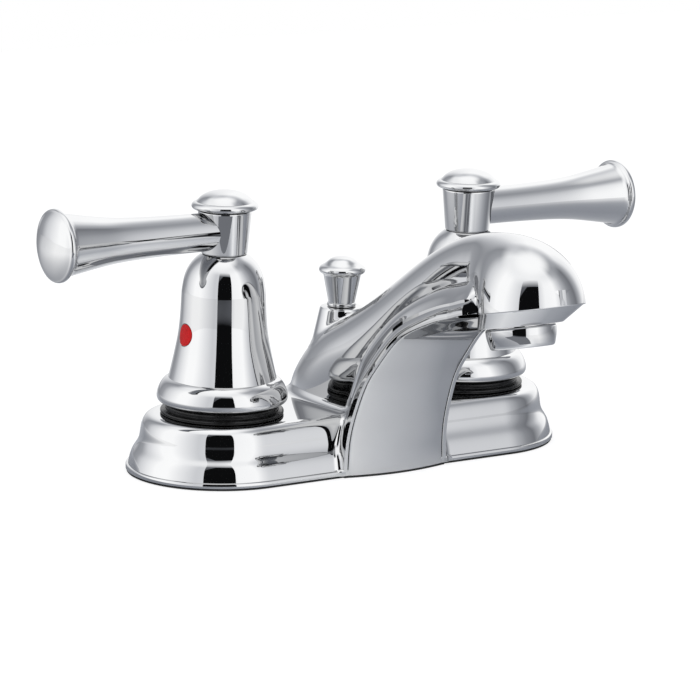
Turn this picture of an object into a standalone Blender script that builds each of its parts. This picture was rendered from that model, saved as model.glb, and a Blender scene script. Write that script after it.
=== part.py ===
"""Centerset bathroom faucet: cast spout body on a long oval base, two bell handles with levers,
a lift rod for the pop-up drain, and the valves, waterway and fixings that they hide.
Metres, +Z up. The origin is on the deck, midway between the handle axes. The spout points to -Y."""

import math

import bmesh
import bpy
import numpy as np
from mathutils import Matrix, Vector

# Clearance between pieces, and how far a cut runs past what it cuts
gap = 0.0003
overcut = 0.0050

# Base
handle_spacing = 0.1016
base_end = 0.0334
base_half_depth = 0.0318
base_height = 0.0200
base_wall = 0.0025
gasket_thickness = 0.0005
gasket_inset = 0.0012

# Spout
edge_strip = 0.00144
strip_depth = 0.0040
spout_wall = 0.0022
head_floor = 0.0030
hollow_overcut = 0.0060
panel_thickness = 0.0016
panel_chamfer = 0.0014
panel_crown = 0.0027
panel_tongue = 0.0040
tower_front = 0.0326
tower_back = 0.0262
head_radius = 0.0179
head_reach = 0.1083
head_rim_height = 0.0714
head_tilt = math.radians(13.0)
underside_radius = 0.0142
underside_drop = 0.0053
underside_setback = 0.0071
rod_boss_radius = 0.0075
rod_boss_taper = 0.21
rod_boss_standout = 0.0027

# Aerator and waterway
aerator_radius = 0.0117
aerator_tip_radius = 0.0106
aerator_length = 0.0073
aerator_bore = 0.0082
aerator_lip = 0.0012
aerator_ledge = 0.0008
washer_bore = 0.0060
washer_squeeze = 0.0020
outlet_thread_radius = 0.0096
outlet_depth = 0.0105
socket_wall = 0.0022
socket_flange = 0.0042
socket_step = 0.0024
socket_ledge = 0.0010
tube_radius = 0.0040
port_y = -0.0100

# Lift rod
rod_y = 0.0034
rod_radius = 0.0024
rod_bottom = -0.1200
knob_radius = 0.0082
knob_height = 0.0173
knob_socket_depth = 0.0082

# Valves and fixings
shank_radius = 0.0104
shank_bottom = -0.0480
shank_bore = 0.0075
valve_thread_radius = 0.0129
valve_body_radius = 0.0122
valve_standout = 0.0050
valve_shoulder = 0.0016
waterway_thickness = 0.0080
waterway_drop = 0.0053
cartridge_radius = 0.0085
cartridge_neck_radius = 0.0070
cartridge_depth = 0.0157
cartridge_standout = 0.0110
stem_radius = 0.0042
stem_engagement = 0.0140
bonnet_height = 0.0055
bonnet_flats = 0.0230
ring_radius = 0.0196
ring_lip_radius = 0.0186
ring_height = 0.0038
deck_clamp_z = -0.0220
washer_radius = 0.0170
washer_thickness = 0.0030
nut_flats = 0.0290
nut_height = 0.0090

# Handles
bell_lift = 0.0024
bell_height = 0.0532
boss_radius = 0.0082
boss_clearance = 0.0040
neck_bottom_radius = 0.0079
neck_top_radius = 0.0092
neck_length = 0.0150
spigot_radius = 0.0050
spigot_length = 0.0170
cap_radius = 0.0114
cap_height = 0.0070
cap_stud_radius = 0.0025
cap_stud_length = 0.0109
lever_rise = 0.0081
lever_length = 0.0694
lever_root_radius = 0.0066
lever_bead_radius = 0.0124
lever_stub_radius = 0.0044
button_rise = 0.0262
button_radius = 0.0037
button_thickness = 0.0013
set_screw_radius = 0.0020
screw_web_radius = 0.0042
stud_wall = 0.0012

# Mesh fineness
round_steps = 24
hidden_steps = 18
small_steps = 12

# Places that follow from the sizes
half_spacing = handle_spacing / 2
base_bottom = gasket_thickness + gap
inner_top = base_height - base_wall
waterway_high = inner_top - waterway_drop
waterway_low = waterway_high - waterway_thickness
rod_hole_radius = rod_radius + gap
valve_top = base_height + valve_standout
cartridge_low = valve_top - cartridge_depth
cartridge_top = valve_top + cartridge_standout
stem_bottom = cartridge_top - stem_engagement + gap
bell_bottom = base_height + bell_lift
bell_top = bell_bottom + bell_height
boss_bottom = cartridge_top + boss_clearance
spigot_bottom = bell_top - spigot_length
stem_top = spigot_bottom - 2 * gap
neck_top = bell_top + neck_length
cap_top = neck_top + cap_height
stud_bottom = neck_top - cap_stud_length
lever_height = bell_top + lever_rise
button_height = bell_bottom + button_rise


def new_collection(name):
    made = bpy.data.collections.new(name)
    bpy.context.scene.collection.children.link(made)
    return made


for leftover in list(bpy.data.objects):
    bpy.data.objects.remove(leftover, do_unlink=True)

parts = new_collection("centerset_faucet")
cutters = new_collection("cutters")


def material(name, color, metallic, roughness):
    made = bpy.data.materials.new(name)
    made.use_nodes = True
    shader = made.node_tree.nodes["Principled BSDF"]
    shader.inputs["Base Color"].default_value = (*color, 1.0)
    shader.inputs["Metallic"].default_value = metallic
    shader.inputs["Roughness"].default_value = roughness
    made.diffuse_color = (*color, 1.0)
    return made


chrome = material("chrome", (0.80, 0.81, 0.83), 1.0, 0.05)
brass = material("brass", (0.72, 0.55, 0.28), 1.0, 0.35)
copper = material("copper", (0.72, 0.42, 0.30), 1.0, 0.30)
steel = material("stainless_steel", (0.62, 0.62, 0.64), 1.0, 0.25)
black_rubber = material("black_rubber", (0.03, 0.03, 0.03), 0.0, 0.60)
black_plastic = material("black_plastic", (0.04, 0.04, 0.045), 0.0, 0.35)
white_plastic = material("white_plastic", (0.80, 0.80, 0.78), 0.0, 0.40)
hot_red = material("hot_red", (0.62, 0.02, 0.02), 0.0, 0.25)
cold_blue = material("cold_blue", (0.02, 0.10, 0.55), 0.0, 0.25)


def place(obj, collection, finish=None):
    """Links a new object, gives it its material, and hides it if it is only a cutter."""
    collection.objects.link(obj)
    if finish:
        obj.data.materials.append(finish)
    if collection is cutters:
        obj.hide_render = True
        obj.display_type = "WIRE"
    return obj


def smooth_shade(mesh):
    mesh.shade_smooth()
    mesh.set_sharp_from_angle(angle=math.radians(35))


def turned(name, profile, collection=parts, finish=None, steps=round_steps):
    """A piece turned about its own Z axis. The profile, in (radius, height), runs down its outer side."""
    mesh = bpy.data.meshes.new(name)
    closed = profile[0][0] > 0 and profile[-1][0] > 0
    edges = [(i, i + 1) for i in range(len(profile) - 1)]
    if closed:
        edges.append((len(profile) - 1, 0))
    mesh.from_pydata([(r, 0, z) for r, z in profile], edges, [])
    obj = place(bpy.data.objects.new(name, mesh), collection, finish)
    screw = obj.modifiers.new("turn", "SCREW")
    screw.steps = steps
    screw.render_steps = steps
    screw.use_merge_vertices = True
    screw.merge_threshold = 0.00001
    screw.use_smooth_shade = True
    return obj


def cylinder(name, radius, low, high, collection=cutters, finish=None, steps=round_steps):
    """A plain round bar from low to high on its own Z axis."""
    mesh = bpy.data.meshes.new(name)
    bm = bmesh.new()
    bmesh.ops.create_cone(
        bm,
        cap_ends=True,
        segments=steps,
        radius1=radius,
        radius2=radius,
        depth=high - low,
        matrix=Matrix.Translation((0, 0, (low + high) / 2)),
    )
    bm.to_mesh(mesh)
    bm.free()
    smooth_shade(mesh)
    return place(bpy.data.objects.new(name, mesh), collection, finish)


def loft(name, rings, collection=parts, finish=None):
    """A closed solid through rings of equally many points, each ring capped flat at the ends."""
    bm = bmesh.new()
    made = [[bm.verts.new(p) for p in ring] for ring in rings]
    count = len(made[0])
    for low, high in zip(made, made[1:]):
        for i in range(count):
            j = (i + 1) % count
            bm.faces.new((low[i], low[j], high[j], high[i]))
    bm.faces.new(made[0][::-1])
    bm.faces.new(made[-1])
    bmesh.ops.recalc_face_normals(bm, faces=bm.faces)
    mesh = bpy.data.meshes.new(name)
    bm.to_mesh(mesh)
    bm.free()
    smooth_shade(mesh)
    return place(bpy.data.objects.new(name, mesh), collection, finish)


def boolean(obj, other, operation="DIFFERENCE"):
    step = obj.modifiers.new(operation.lower() + "_" + other.name, "BOOLEAN")
    step.operation = operation
    step.object = other
    step.solver = "EXACT"
    return obj


def as_mesh(obj, collection, finish=None):
    """The evaluated shape of a curve as a mesh object with welded caps. The curve is removed."""
    bpy.context.view_layer.update()
    graph = bpy.context.evaluated_depsgraph_get()
    mesh = bpy.data.meshes.new_from_object(obj.evaluated_get(graph))
    bm = bmesh.new()
    bm.from_mesh(mesh)
    bmesh.ops.remove_doubles(bm, verts=bm.verts, dist=0.00001)
    bmesh.ops.recalc_face_normals(bm, faces=bm.faces)
    bm.to_mesh(mesh)
    bm.free()
    name, where = obj.name, obj.matrix_world.copy()
    bpy.data.objects.remove(obj, do_unlink=True)
    made = place(bpy.data.objects.new(name, mesh), collection, finish)
    made.matrix_world = where
    return made


def spline(values, at):
    """Natural cubic spline through values at 0, 1, 2 ..., read at the places given."""
    values = np.asarray(values, float)
    last = len(values) - 1
    bend = np.zeros((last + 1, last + 1))
    bend[0, 0] = bend[last, last] = 1
    right = np.zeros(last + 1)
    for i in range(1, last):
        bend[i, i - 1 : i + 2] = 1, 4, 1
        right[i] = 6 * (values[i - 1] - 2 * values[i] + values[i + 1])
    second = np.linalg.solve(bend, right)
    at = np.asarray(at, float)
    i = np.clip(at.astype(int), 0, last - 1)
    t = at - i
    low, high = (1 - t), t
    return (
        low * values[i]
        + high * values[i + 1]
        + ((low**3 - low) * second[i] + (high**3 - high) * second[i + 1]) / 6
    )


# Spout form, station by station: the arch edge in front and below, the crest behind and above.
# Each is a share of the way from the tower's foot to the head's middle, and of the rim's height.
arch_ahead = [0.0, 0.0, 0.013, 0.057, 0.111, 0.177, 0.269, 0.362, 0.478, 0.606, 0.701]
arch_rise = [0.0, 0.102, 0.215, 0.357, 0.477, 0.569, 0.680, 0.761, 0.824, 0.881, 0.914]
crest_ahead = [0.0, 0.0, 0.003, 0.030, 0.120, 0.239, 0.384, 0.511, 0.630, 0.726, 0.787]
crest_rise = [0.0, 0.116, 0.265, 0.399, 0.574, 0.703, 0.863, 1.025, 1.169, 1.252, 1.285]
edge_width = [0.0213, 0.0211, 0.0208, 0.0203, 0.0198, 0.0194, 0.0189, 0.0185, 0.0181, 0.0178, 0.0175]
body_width = [0.0155, 0.0155, 0.0153, 0.0150, 0.0146, 0.0140, 0.0132, 0.0124, 0.0118, 0.0115, 0.0115]
back_square = [6.0, 6.0, 6.0, 5.5, 5.0, 4.6, 4.2, 3.9, 3.7, 3.6, 3.4]
flare_reach = 0.70

# Flute along each flank of the upper spout: a cove from the arch edge up to the middle of the flank
flute_from = 2.5
flute_full = 4.5
flute_top = 0.62
flute_curl = 2.0
strip_share = 0.08

# Where the crest passes over the head, measured forward and up in the tilted frame of the head's rim
head_rear = -0.0220
head_crown = 0.0259
neck_start = -0.0145
head_bulge = 2.35
head_stations = 12
neck_fade = 0.0085
neck_blend = 0.0030

forward = Vector((0, -math.cos(head_tilt), math.sin(head_tilt)))
upward = Vector((0, math.sin(head_tilt), math.cos(head_tilt)))
head_centre = Vector((0, -head_reach, head_rim_height))
outlet_centre = head_centre - forward * underside_setback - upward * underside_drop


def height_at(rise, t):
    return base_bottom + (head_rim_height - base_bottom) * spline(rise, t)


def arch_point(t):
    y = -tower_front - (head_reach - tower_front) * spline(arch_ahead, t)
    return Vector((0, float(y), float(height_at(arch_rise, t))))


def crest_point(t):
    y = tower_back - (head_reach + tower_back) * spline(crest_ahead, t)
    return Vector((0, float(y), float(height_at(crest_rise, t))))


def crown(ahead):
    """Height of the crest over the head's rim plane."""
    share = min(1.0, max(0.0, (ahead - head_rear) / (head_radius - head_rear)))
    return head_crown * (1 - share**head_bulge) ** (1 / head_bulge)


def smooth_share(value, low, high):
    """0 below low and 1 above high, with a smooth rise between them."""
    share = min(1.0, max(0.0, (value - low) / (high - low)))
    return share * share * (3 - 2 * share)


def spout_stations():
    """Each station as (arch point, crest point, edge width, body width, squareness, flute, head width)."""
    last = len(arch_rise) - 1
    rows = []
    for t in np.linspace(0, last, 2 * last + 1):
        widths = [float(spline(v, t)) for v in (edge_width, body_width, back_square)]
        flute = smooth_share(t, flute_from, flute_full)
        rows.append((arch_point(t), crest_point(t), *widths, flute, 0.0))
    for turn in np.linspace(0, math.pi / 2, head_stations)[:-1]:
        ahead = neck_start + (head_radius - neck_start) * math.sin(turn)
        arch = head_centre + forward * ahead
        crest = arch + upward * crown(ahead)
        round_width = math.sqrt(max(0.0, head_radius**2 - ahead**2))
        fade = max(0.0, 1 - (ahead - neck_start) / neck_fade)
        edge = max(round_width, edge_width[-1] * fade)
        rows.append((arch, crest, edge, body_width[-1] * fade, back_square[-1], 1.0, round_width))
    return rows


def blend(one, other):
    """The larger of two widths, with the step between them rounded off."""
    reach = min(neck_blend, 0.4 * max(one, other)) + 1e-9
    near = max(0.0, reach - abs(one - other)) / reach
    return max(one, other) + near * near * reach / 4


def half_width(row, a):
    """Half the spout's width at share a of the way from the arch edge to the crest."""
    _, _, edge, body, square, flute, head = row
    down = min(1.0, max(0.0, a - strip_share) / (flute_top - strip_share))
    fluted = (edge - body) * (1 - down) ** flute_curl
    plain = (edge - body) * math.cos(math.pi / 2 * min(1.0, a / flare_reach)) ** 2
    stem = body * math.sqrt(max(0.0, 1 - a**square)) + plain * (1 - flute) + fluted * flute
    if head == 0:
        return stem
    dome = head * math.sqrt(max(0.0, 1 - a**2))
    return edge if a == 0 else dome if body == 0 else blend(min(stem, edge), dome)


def section(row, shares, widths):
    """A ring in the station's plane: up the left side, over the crest and down the right side."""
    arch, crest = row[0], row[1]
    along = crest - arch
    left = [arch + along * a + Vector((-w, 0, 0)) for a, w in zip(shares, widths)]
    right = [Vector((-p.x, p.y, p.z)) for p in left[::-1] if p.x < -1e-6]
    return left + right


share_steps = 10
shares = [math.sin(math.pi / 2 * i / share_steps) for i in range(share_steps + 1)]
outer_rings = []
for row in spout_stations():
    widths = [half_width(row, a) for a in shares]
    widths[-1] = 0.0
    outer_rings.append(section(row, shares, widths))
spout_body = loft("spout_body", outer_rings, parts, chrome)


# Base: a long oval whose wall has a foot, a flare, a cove and an upright face under a rounded top edge.
# Each row is how far the wall is drawn in, and a share of the base's height.
wall_rows = [
    (0.0001, 0.12),
    (0.0008, 0.135),
    (0.0014, 0.255),
    (0.0024, 0.38),
    (0.0035, 0.46),
    (0.0044, 0.56),
    (0.0050, 0.725),
    (0.0056, 0.85),
    (0.0063, 0.92),
    (0.0074, 0.97),
    (0.0090, 1.0),
]
wall_profile = [(0.0, base_bottom)] + [(inset, share * base_height) for inset, share in wall_rows]


def oval(inset, height, per_end=16):
    """One ring of the base outline, drawn in by the inset."""
    points = []
    for side in (1, -1):
        for i in range(per_end):
            turn = math.pi * (i / (per_end - 1) - 0.5)
            x = side * (half_spacing + (base_end - inset) * math.cos(turn))
            points.append(Vector((x, side * (base_half_depth - inset) * math.sin(turn), height)))
    return points


base_solid = loft("base_solid", [oval(inset, z) for inset, z in wall_profile], cutters)
boolean(spout_body, base_solid, "UNION")

# Boss for the lift rod: it stands a little over the crest just in front of it
crest_line = [crest_point(t) for t in np.linspace(0, len(crest_ahead) - 1, 101)]
rod_boss_front = rod_y - rod_boss_radius
crest_at_boss = np.interp(-rod_boss_front, [-p.y for p in crest_line], [p.z for p in crest_line])
rod_boss_height = float(crest_at_boss) + rod_boss_standout
rod_boss_skirt = 0.0200

rod_boss = turned(
    "rod_boss",
    [
        (0, rod_boss_height),
        (rod_boss_radius - 0.0004, rod_boss_height),
        (rod_boss_radius, rod_boss_height - 0.0004),
        (rod_boss_radius + rod_boss_taper * rod_boss_skirt, rod_boss_height - rod_boss_skirt),
        (0, rod_boss_height - rod_boss_skirt),
    ],
    cutters,
)
rod_boss.location = (0, rod_y, 0)
boolean(spout_body, rod_boss, "UNION")


def tilted_ring(centre, radius, count=round_steps):
    """A circle in the tilted plane of the head's rim."""
    ring = []
    for i in range(count):
        turn = 2 * math.pi * i / count
        ring.append(centre + forward * radius * math.cos(turn) + Vector((radius * math.sin(turn), 0, 0)))
    return ring


def underside(grow, name):
    """The bevelled underside of the head, grown on all sides by the clearance given."""
    ledge = 0.0002
    rings = [
        tilted_ring(outlet_centre - upward * grow, underside_radius + grow),
        tilted_ring(head_centre - upward * grow, head_radius + grow - ledge),
        tilted_ring(head_centre + upward * 0.0010, head_radius + grow - 3 * ledge),
    ]
    return loft(name, rings, cutters)


boolean(spout_body, underside(0, "head_underside"), "UNION")


# Hollow of the casting: it follows the outside one wall inside, and opens downward and at the arch
def inner_ring(row, low_depth):
    """A ring one wall inside the outer one, starting at a depth above the arch edge."""
    length = (row[1] - row[0]).length
    low = low_depth / length
    start = (max(0.0, low_depth) + gap) / length
    high = 1 - spout_wall / length
    inner = [low] + [start + (high - start) * s for s in shares]
    widths = []
    for a, s in zip(inner, [0.0] + shares):
        depth = max(0.0, a * length)
        wall = edge_strip + (spout_wall - edge_strip) * smooth_share(depth, strip_depth, 2 * strip_depth)
        reach = min(1.0, max(0.0, a) / high)
        widths.append(max(0.0, half_width(row, reach) - wall * math.sqrt(1 - s**8)))
    widths[-1] = 0.0
    return section(row, inner, widths)


def inner_rings():
    """The hollow stays open at the arch as far as the head's rim, and is closed below past it."""
    rows = spout_stations()
    stem = [row for row in rows if row[-1] == 0]
    head = [row for row in rows if row[-1] > 0][:-4]
    rings = [inner_ring(row, -hollow_overcut) for row in stem]
    closing = inner_ring(head[0], -hollow_overcut / 3)
    rings.append([a.lerp(b, 0.7) for a, b in zip(rings[-1], closing)])
    rings += [inner_ring(row, head_floor) for row in head]
    first = [p + Vector((0, 0, -hollow_overcut)) for p in rings[0]]
    return [first] + rings


boolean(spout_body, loft("spout_hollow", inner_rings(), cutters))

hollow_profile = [(base_wall + inset, z) for inset, z in wall_profile if z < inner_top]
hollow_profile.append((hollow_profile[-1][0] + gap, inner_top))
base_hollow_rings = [oval(base_wall, -overcut)] + [oval(i, z) for i, z in hollow_profile]
boolean(spout_body, loft("base_hollow", base_hollow_rings, cutters))

outlet_bore = cylinder("outlet_bore", outlet_thread_radius, -overcut, outlet_depth, steps=hidden_steps)
outlet_frame = Matrix.Translation(outlet_centre) @ Matrix.Rotation(-head_tilt, 4, "X")
outlet_bore.matrix_world = outlet_frame
boolean(spout_body, outlet_bore)

bore_low, bore_high = rod_boss_height - rod_boss_skirt, rod_boss_height + overcut
rod_bore = cylinder("rod_bore", rod_hole_radius, bore_low, bore_high, steps=small_steps)
rod_bore.location = (0, rod_y, 0)
boolean(spout_body, rod_bore)

for side in (-1, 1):
    low, high = inner_top - overcut, base_height + overcut
    deck_hole = cylinder(f"valve_hole_{side}", valve_thread_radius + gap, low, high)
    deck_hole.location = (side * half_spacing, 0, 0)
    boolean(spout_body, deck_hole)


# Cover that closes the arch between the two edge strips
def panel_rings():
    rows = [row for row in spout_stations() if row[-1] == 0]
    rings = []
    front = [-1, -0.5, 0, 0.5, 1]
    for i, row in enumerate(rows):
        into = (row[1] - row[0]).normalized()
        half = row[2] - edge_strip - gap
        half_in = half - panel_chamfer
        crown_here = panel_crown * (1 - 0.75 * i / (len(rows) - 1))
        outer = [row[0] + Vector((half * f, 0, 0)) - into * crown_here * (1 - f * f) for f in front]
        inner = [
            row[0] + Vector((half_in * f, 0, 0)) - into * (crown_here * (1 - f * f) - panel_thickness)
            for f in front[::-1]
        ]
        rings.append(outer + inner)
    rings.append([p + forward * panel_tongue for p in rings[-1]])
    return rings


arch_panel = loft("arch_panel", panel_rings(), parts, chrome)
boolean(arch_panel, underside(gap, "underside_clearance"))

# Gasket under the base, with holes for the shanks and the rod
gasket_rings = [oval(gasket_inset, z) for z in (0, gasket_thickness)]
base_gasket = loft("base_gasket", gasket_rings, parts, black_rubber)
gasket_low, gasket_high = -overcut, gasket_thickness + overcut
for side in (-1, 1):
    hole = cylinder(f"gasket_hole_{side}", shank_radius + gap, gasket_low, gasket_high, steps=hidden_steps)
    hole.location = (side * half_spacing, 0, 0)
    boolean(base_gasket, hole)
gasket_rod_hole = cylinder("gasket_rod_hole", rod_hole_radius, gasket_low, gasket_high, steps=small_steps)
gasket_rod_hole.location = (0, rod_y, 0)
boolean(base_gasket, gasket_rod_hole)

# Waterway: a brass bar that joins the two valve bodies and feeds the spout tube
waterway_wall = 0.0030
waterway_half_depth = 0.0088
waterway_bore = 0.0020
port_wall = 0.0045
port_depth = 0.0030
port_floor = 0.0017
port_shoulder = 0.0012
waterway_ring_radius = valve_body_radius + waterway_wall


def waterway_outline():
    """Plan of the bar: a ring at each end and a boss for the outlet port in the middle."""
    lean = math.asin(waterway_half_depth / waterway_ring_radius)
    port_half = tube_radius + port_wall
    shoulder = (port_half + port_wall, -waterway_half_depth * 1.06)
    points = []
    for side in (1, -1):
        for i in range(13):
            turn = (math.pi - lean) * (i / 6 - 1)
            x = side * (half_spacing + waterway_ring_radius * math.cos(turn))
            points.append((x, side * waterway_ring_radius * math.sin(turn)))
        if side == -1:
            points.append((-shoulder[0], shoulder[1]))
            points.append((-port_half, port_y - port_half))
            points.append((port_half, port_y - port_half))
            points.append(shoulder)
    return points


def flat_piece(name, outline, low, high, finish):
    """A flat outline given thickness as a filled 2D curve, then made a mesh."""
    curve = bpy.data.curves.new(name, "CURVE")
    curve.dimensions = "2D"
    curve.fill_mode = "BOTH"
    curve.extrude = (high - low) / 2
    path = curve.splines.new("POLY")
    path.points.add(len(outline) - 1)
    for point, (x, y) in zip(path.points, outline):
        point.co = (x, y, 0, 1)
    path.use_cyclic_u = True
    obj = bpy.data.objects.new(name, curve)
    parts.objects.link(obj)
    obj.location = (0, 0, (low + high) / 2)
    return as_mesh(obj, parts, finish)


waterway = flat_piece("waterway_manifold", waterway_outline(), waterway_low, waterway_high, brass)
above_waterway = waterway_high + overcut
below_waterway = waterway_low - overcut
for side in (-1, 1):
    hole = cylinder(f"waterway_hole_{side}", valve_body_radius + gap, below_waterway, above_waterway)
    hole.location = (side * half_spacing, 0, 0)
    boolean(waterway, hole)
upright_cuts = [
    ("waterway_rod_hole", rod_hole_radius, below_waterway, rod_y),
    ("port_hole", tube_radius + gap, waterway_high - port_depth, port_y),
    ("port_drop", tube_radius - port_shoulder, waterway_low + port_floor, port_y),
]
for name, radius, low, y in upright_cuts:
    cut = cylinder(name, radius, low, above_waterway, steps=small_steps)
    cut.location = (0, y, 0)
    boolean(waterway, cut)
cross_bore = cylinder("cross_bore", waterway_bore, -half_spacing, half_spacing, steps=16)
cross_bore.rotation_euler = (0, math.pi / 2, 0)
cross_bore.location = (0, port_y + tube_radius, (waterway_low + waterway_high) / 2)
boolean(waterway, cross_bore)

# Spout tube: from the waterway's port, up the tower and along the middle of the spout to the outlet
socket_low = 0.0060
socket_high = 0.0150
tube_stations = (9, 12, 15, 18)
tube_end_bend = [(-0.0085, 0.0072), (-0.0012, 0.0045)]


def tube_route():
    """Points down the middle of the tube, read from a smooth curve through a few chosen places."""
    rows = spout_stations()
    port = Vector((0, port_y, waterway_high - port_depth + gap))
    first = rows[tube_stations[0]]
    rise = (first[0].z + first[1].z) / 2 - port.z
    places = [port, port + Vector((0, 0, rise * 0.33)), port + Vector((0, -0.0010, rise * 0.62))]
    for station in tube_stations:
        arch, crest = rows[station][0], rows[station][1]
        places.append((arch + crest) / 2)
    top = outlet_centre + upward * socket_high
    places += [top + forward * ahead + upward * above for ahead, above in tube_end_bend]
    places += [top, outlet_centre + upward * (socket_low + socket_step + gap)]
    at = np.linspace(0, len(places) - 1, 3 * len(places) - 2)
    return list(zip(*[spline([p[k] for p in places], at) for k in range(3)]))


tube_curve = bpy.data.curves.new("spout_tube", "CURVE")
tube_curve.dimensions = "3D"
tube_curve.bevel_depth = tube_radius
tube_curve.bevel_resolution = 3
tube_curve.use_fill_caps = True
tube_line = tube_curve.splines.new("POLY")
route = tube_route()
tube_line.points.add(len(route) - 1)
for point, (x, y, z) in zip(tube_line.points, route):
    point.co = (x, y, z, 1)
spout_tube = place(bpy.data.objects.new("spout_tube", tube_curve), parts, copper)

# Outlet: the tube's socket, a washer, the aerator's housing and its insert, all on the tilted axis
socket_radius = outlet_thread_radius - gap
socket_tube_radius = tube_radius + socket_wall
socket_flange_top = socket_low + socket_flange
socket_stop = socket_low + socket_step
neck_high = socket_low - washer_squeeze
housing_lip = -aerator_length + aerator_lip
insert_radius = aerator_bore - gap
insert_low = housing_lip + gap
insert_high = neck_high - aerator_lip
outlet_parts = [
    turned(
        "outlet_socket",
        [
            (tube_radius + gap, socket_high),
            (socket_tube_radius, socket_high),
            (socket_tube_radius, socket_flange_top),
            (socket_radius, socket_flange_top),
            (socket_radius, socket_low),
            (tube_radius - socket_ledge, socket_low),
            (tube_radius - socket_ledge, socket_stop),
            (tube_radius + gap, socket_stop),
        ],
        finish=brass,
        steps=hidden_steps,
    ),
    turned(
        "aerator_washer",
        [
            (socket_radius, socket_low - gap),
            (socket_radius, neck_high + gap),
            (washer_bore, neck_high + gap),
            (washer_bore, socket_low - gap),
        ],
        finish=black_rubber,
        steps=hidden_steps,
    ),
    turned(
        "aerator_housing",
        [
            (aerator_bore, neck_high),
            (socket_radius, neck_high),
            (socket_radius, -gap),
            (aerator_radius - 0.0003, -gap),
            (aerator_radius, -0.0010),
            (aerator_radius - 0.0001, -0.0030),
            (aerator_tip_radius + 0.0002, housing_lip),
            (aerator_tip_radius - 0.0004, -aerator_length),
            (aerator_bore - aerator_ledge, -aerator_length),
            (aerator_bore - aerator_ledge, housing_lip),
            (aerator_bore, housing_lip),
        ],
        finish=chrome,
    ),
    turned(
        "aerator_insert",
        [
            (0, insert_high),
            (insert_radius - 0.0012, insert_high),
            (insert_radius, insert_high - 0.0015),
            (insert_radius, insert_low),
            (insert_radius - 0.0016, insert_low),
            (insert_radius - 0.0022, insert_low + 0.0010),
            (insert_radius * 0.40, insert_low + 0.0010),
            (insert_radius * 0.33, insert_low),
            (0, insert_low),
        ],
        finish=white_plastic,
        steps=hidden_steps,
    ),
]
for piece in outlet_parts:
    piece.matrix_world = outlet_frame

# Lift rod and its knob
knob_foot = rod_boss_height + gap
knob_top = knob_foot + knob_height
rod_top = knob_foot + knob_socket_depth - gap
lift_rod = cylinder("lift_rod", rod_radius, rod_bottom, rod_top, parts, steel, small_steps)
lift_rod.location = (0, rod_y, 0)
lift_knob = turned(
    "lift_knob",
    [
        (0, knob_top),
        (0.0030, knob_top - 0.0003),
        (0.0056, knob_top - 0.0016),
        (knob_radius - 0.0006, knob_top - 0.0037),
        (knob_radius, knob_top - 0.0047),
        (knob_radius - 0.0006, knob_top - 0.0056),
        (0.0062, knob_top - 0.0066),
        (0.0053, knob_foot + 0.0060),
        (0.0047, knob_foot + 0.0012),
        (0.0051, knob_foot + 0.0008),
        (0.0051, knob_foot),
        (rod_hole_radius, knob_foot),
        (rod_hole_radius, rod_top + gap),
        (0, rod_top + gap),
    ],
    finish=chrome,
    steps=hidden_steps,
)
lift_knob.location = (0, rod_y, 0)


# Bell of the handle, in radius and share of its height, down its outer side and up its inside
bell_rows = [
    (neck_bottom_radius, 1.0),
    (0.0094, 0.977),
    (0.0110, 0.945),
    (0.0129, 0.889),
    (0.0139, 0.833),
    (0.0144, 0.763),
    (0.0146, 0.669),
    (0.0150, 0.566),
    (0.0155, 0.470),
    (0.0163, 0.387),
    (0.0174, 0.289),
    (0.0186, 0.192),
    (0.0191, 0.177),
    (0.0209, 0.154),
    (0.0223, 0.105),
    (0.0226, 0.062),
    (0.0222, 0.026),
    (0.0209, 0.0),
]
inside_rows = [(0.0197, 0.0), (0.0197, 0.083), (0.0158, 0.237), (0.0128, 0.519), (0.0112, 0.782)]
boss_root = 0.838


def on_bell(share):
    return bell_bottom + share * bell_height


bell_outline = [(r, on_bell(share)) for r, share in bell_rows]
bell_inside = [(r, on_bell(share)) for r, share in inside_rows]
bell_inside += [
    (boss_radius, on_bell(boss_root)),
    (boss_radius, boss_bottom),
    (stem_radius + gap, boss_bottom),
    (stem_radius + gap, stem_top + gap),
    (spigot_radius + gap, stem_top + gap),
    (spigot_radius + gap, bell_top),
]


def radius_at(outline, height):
    """Radius of a turned outline at a height, between its points."""
    radii = [r for r, _ in outline]
    heights = [z for _, z in outline]
    return float(np.interp(height, heights[::-1], radii[::-1]))


def neck_profile(grow, low, high):
    slope = (neck_top_radius - neck_bottom_radius) / (neck_top - bell_top)
    return [
        (0, high),
        (neck_bottom_radius + grow + slope * (high - bell_top), high),
        (neck_bottom_radius + grow + slope * (low - bell_top), low),
        (0, low),
    ]


# Lever in radius and share of its length back from the tip
lever_rows = [
    (0, 0),
    (0.0050, 0.0058),
    (0.0090, 0.0216),
    (0.0112, 0.0375),
    (lever_bead_radius, 0.0519),
    (lever_bead_radius - 0.0006, 0.0720),
    (0.0108, 0.0807),
    (0.0101, 0.1311),
    (0.0090, 0.2305),
    (0.0079, 0.3458),
    (0.0073, 0.4467),
    (0.0069, 0.5764),
    (lever_root_radius, 0.7493),
]

button_face = radius_at(bell_outline, button_height)
button_seat = button_face - button_thickness
sideways = Matrix.Rotation(math.pi / 2, 4, "Y")


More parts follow.
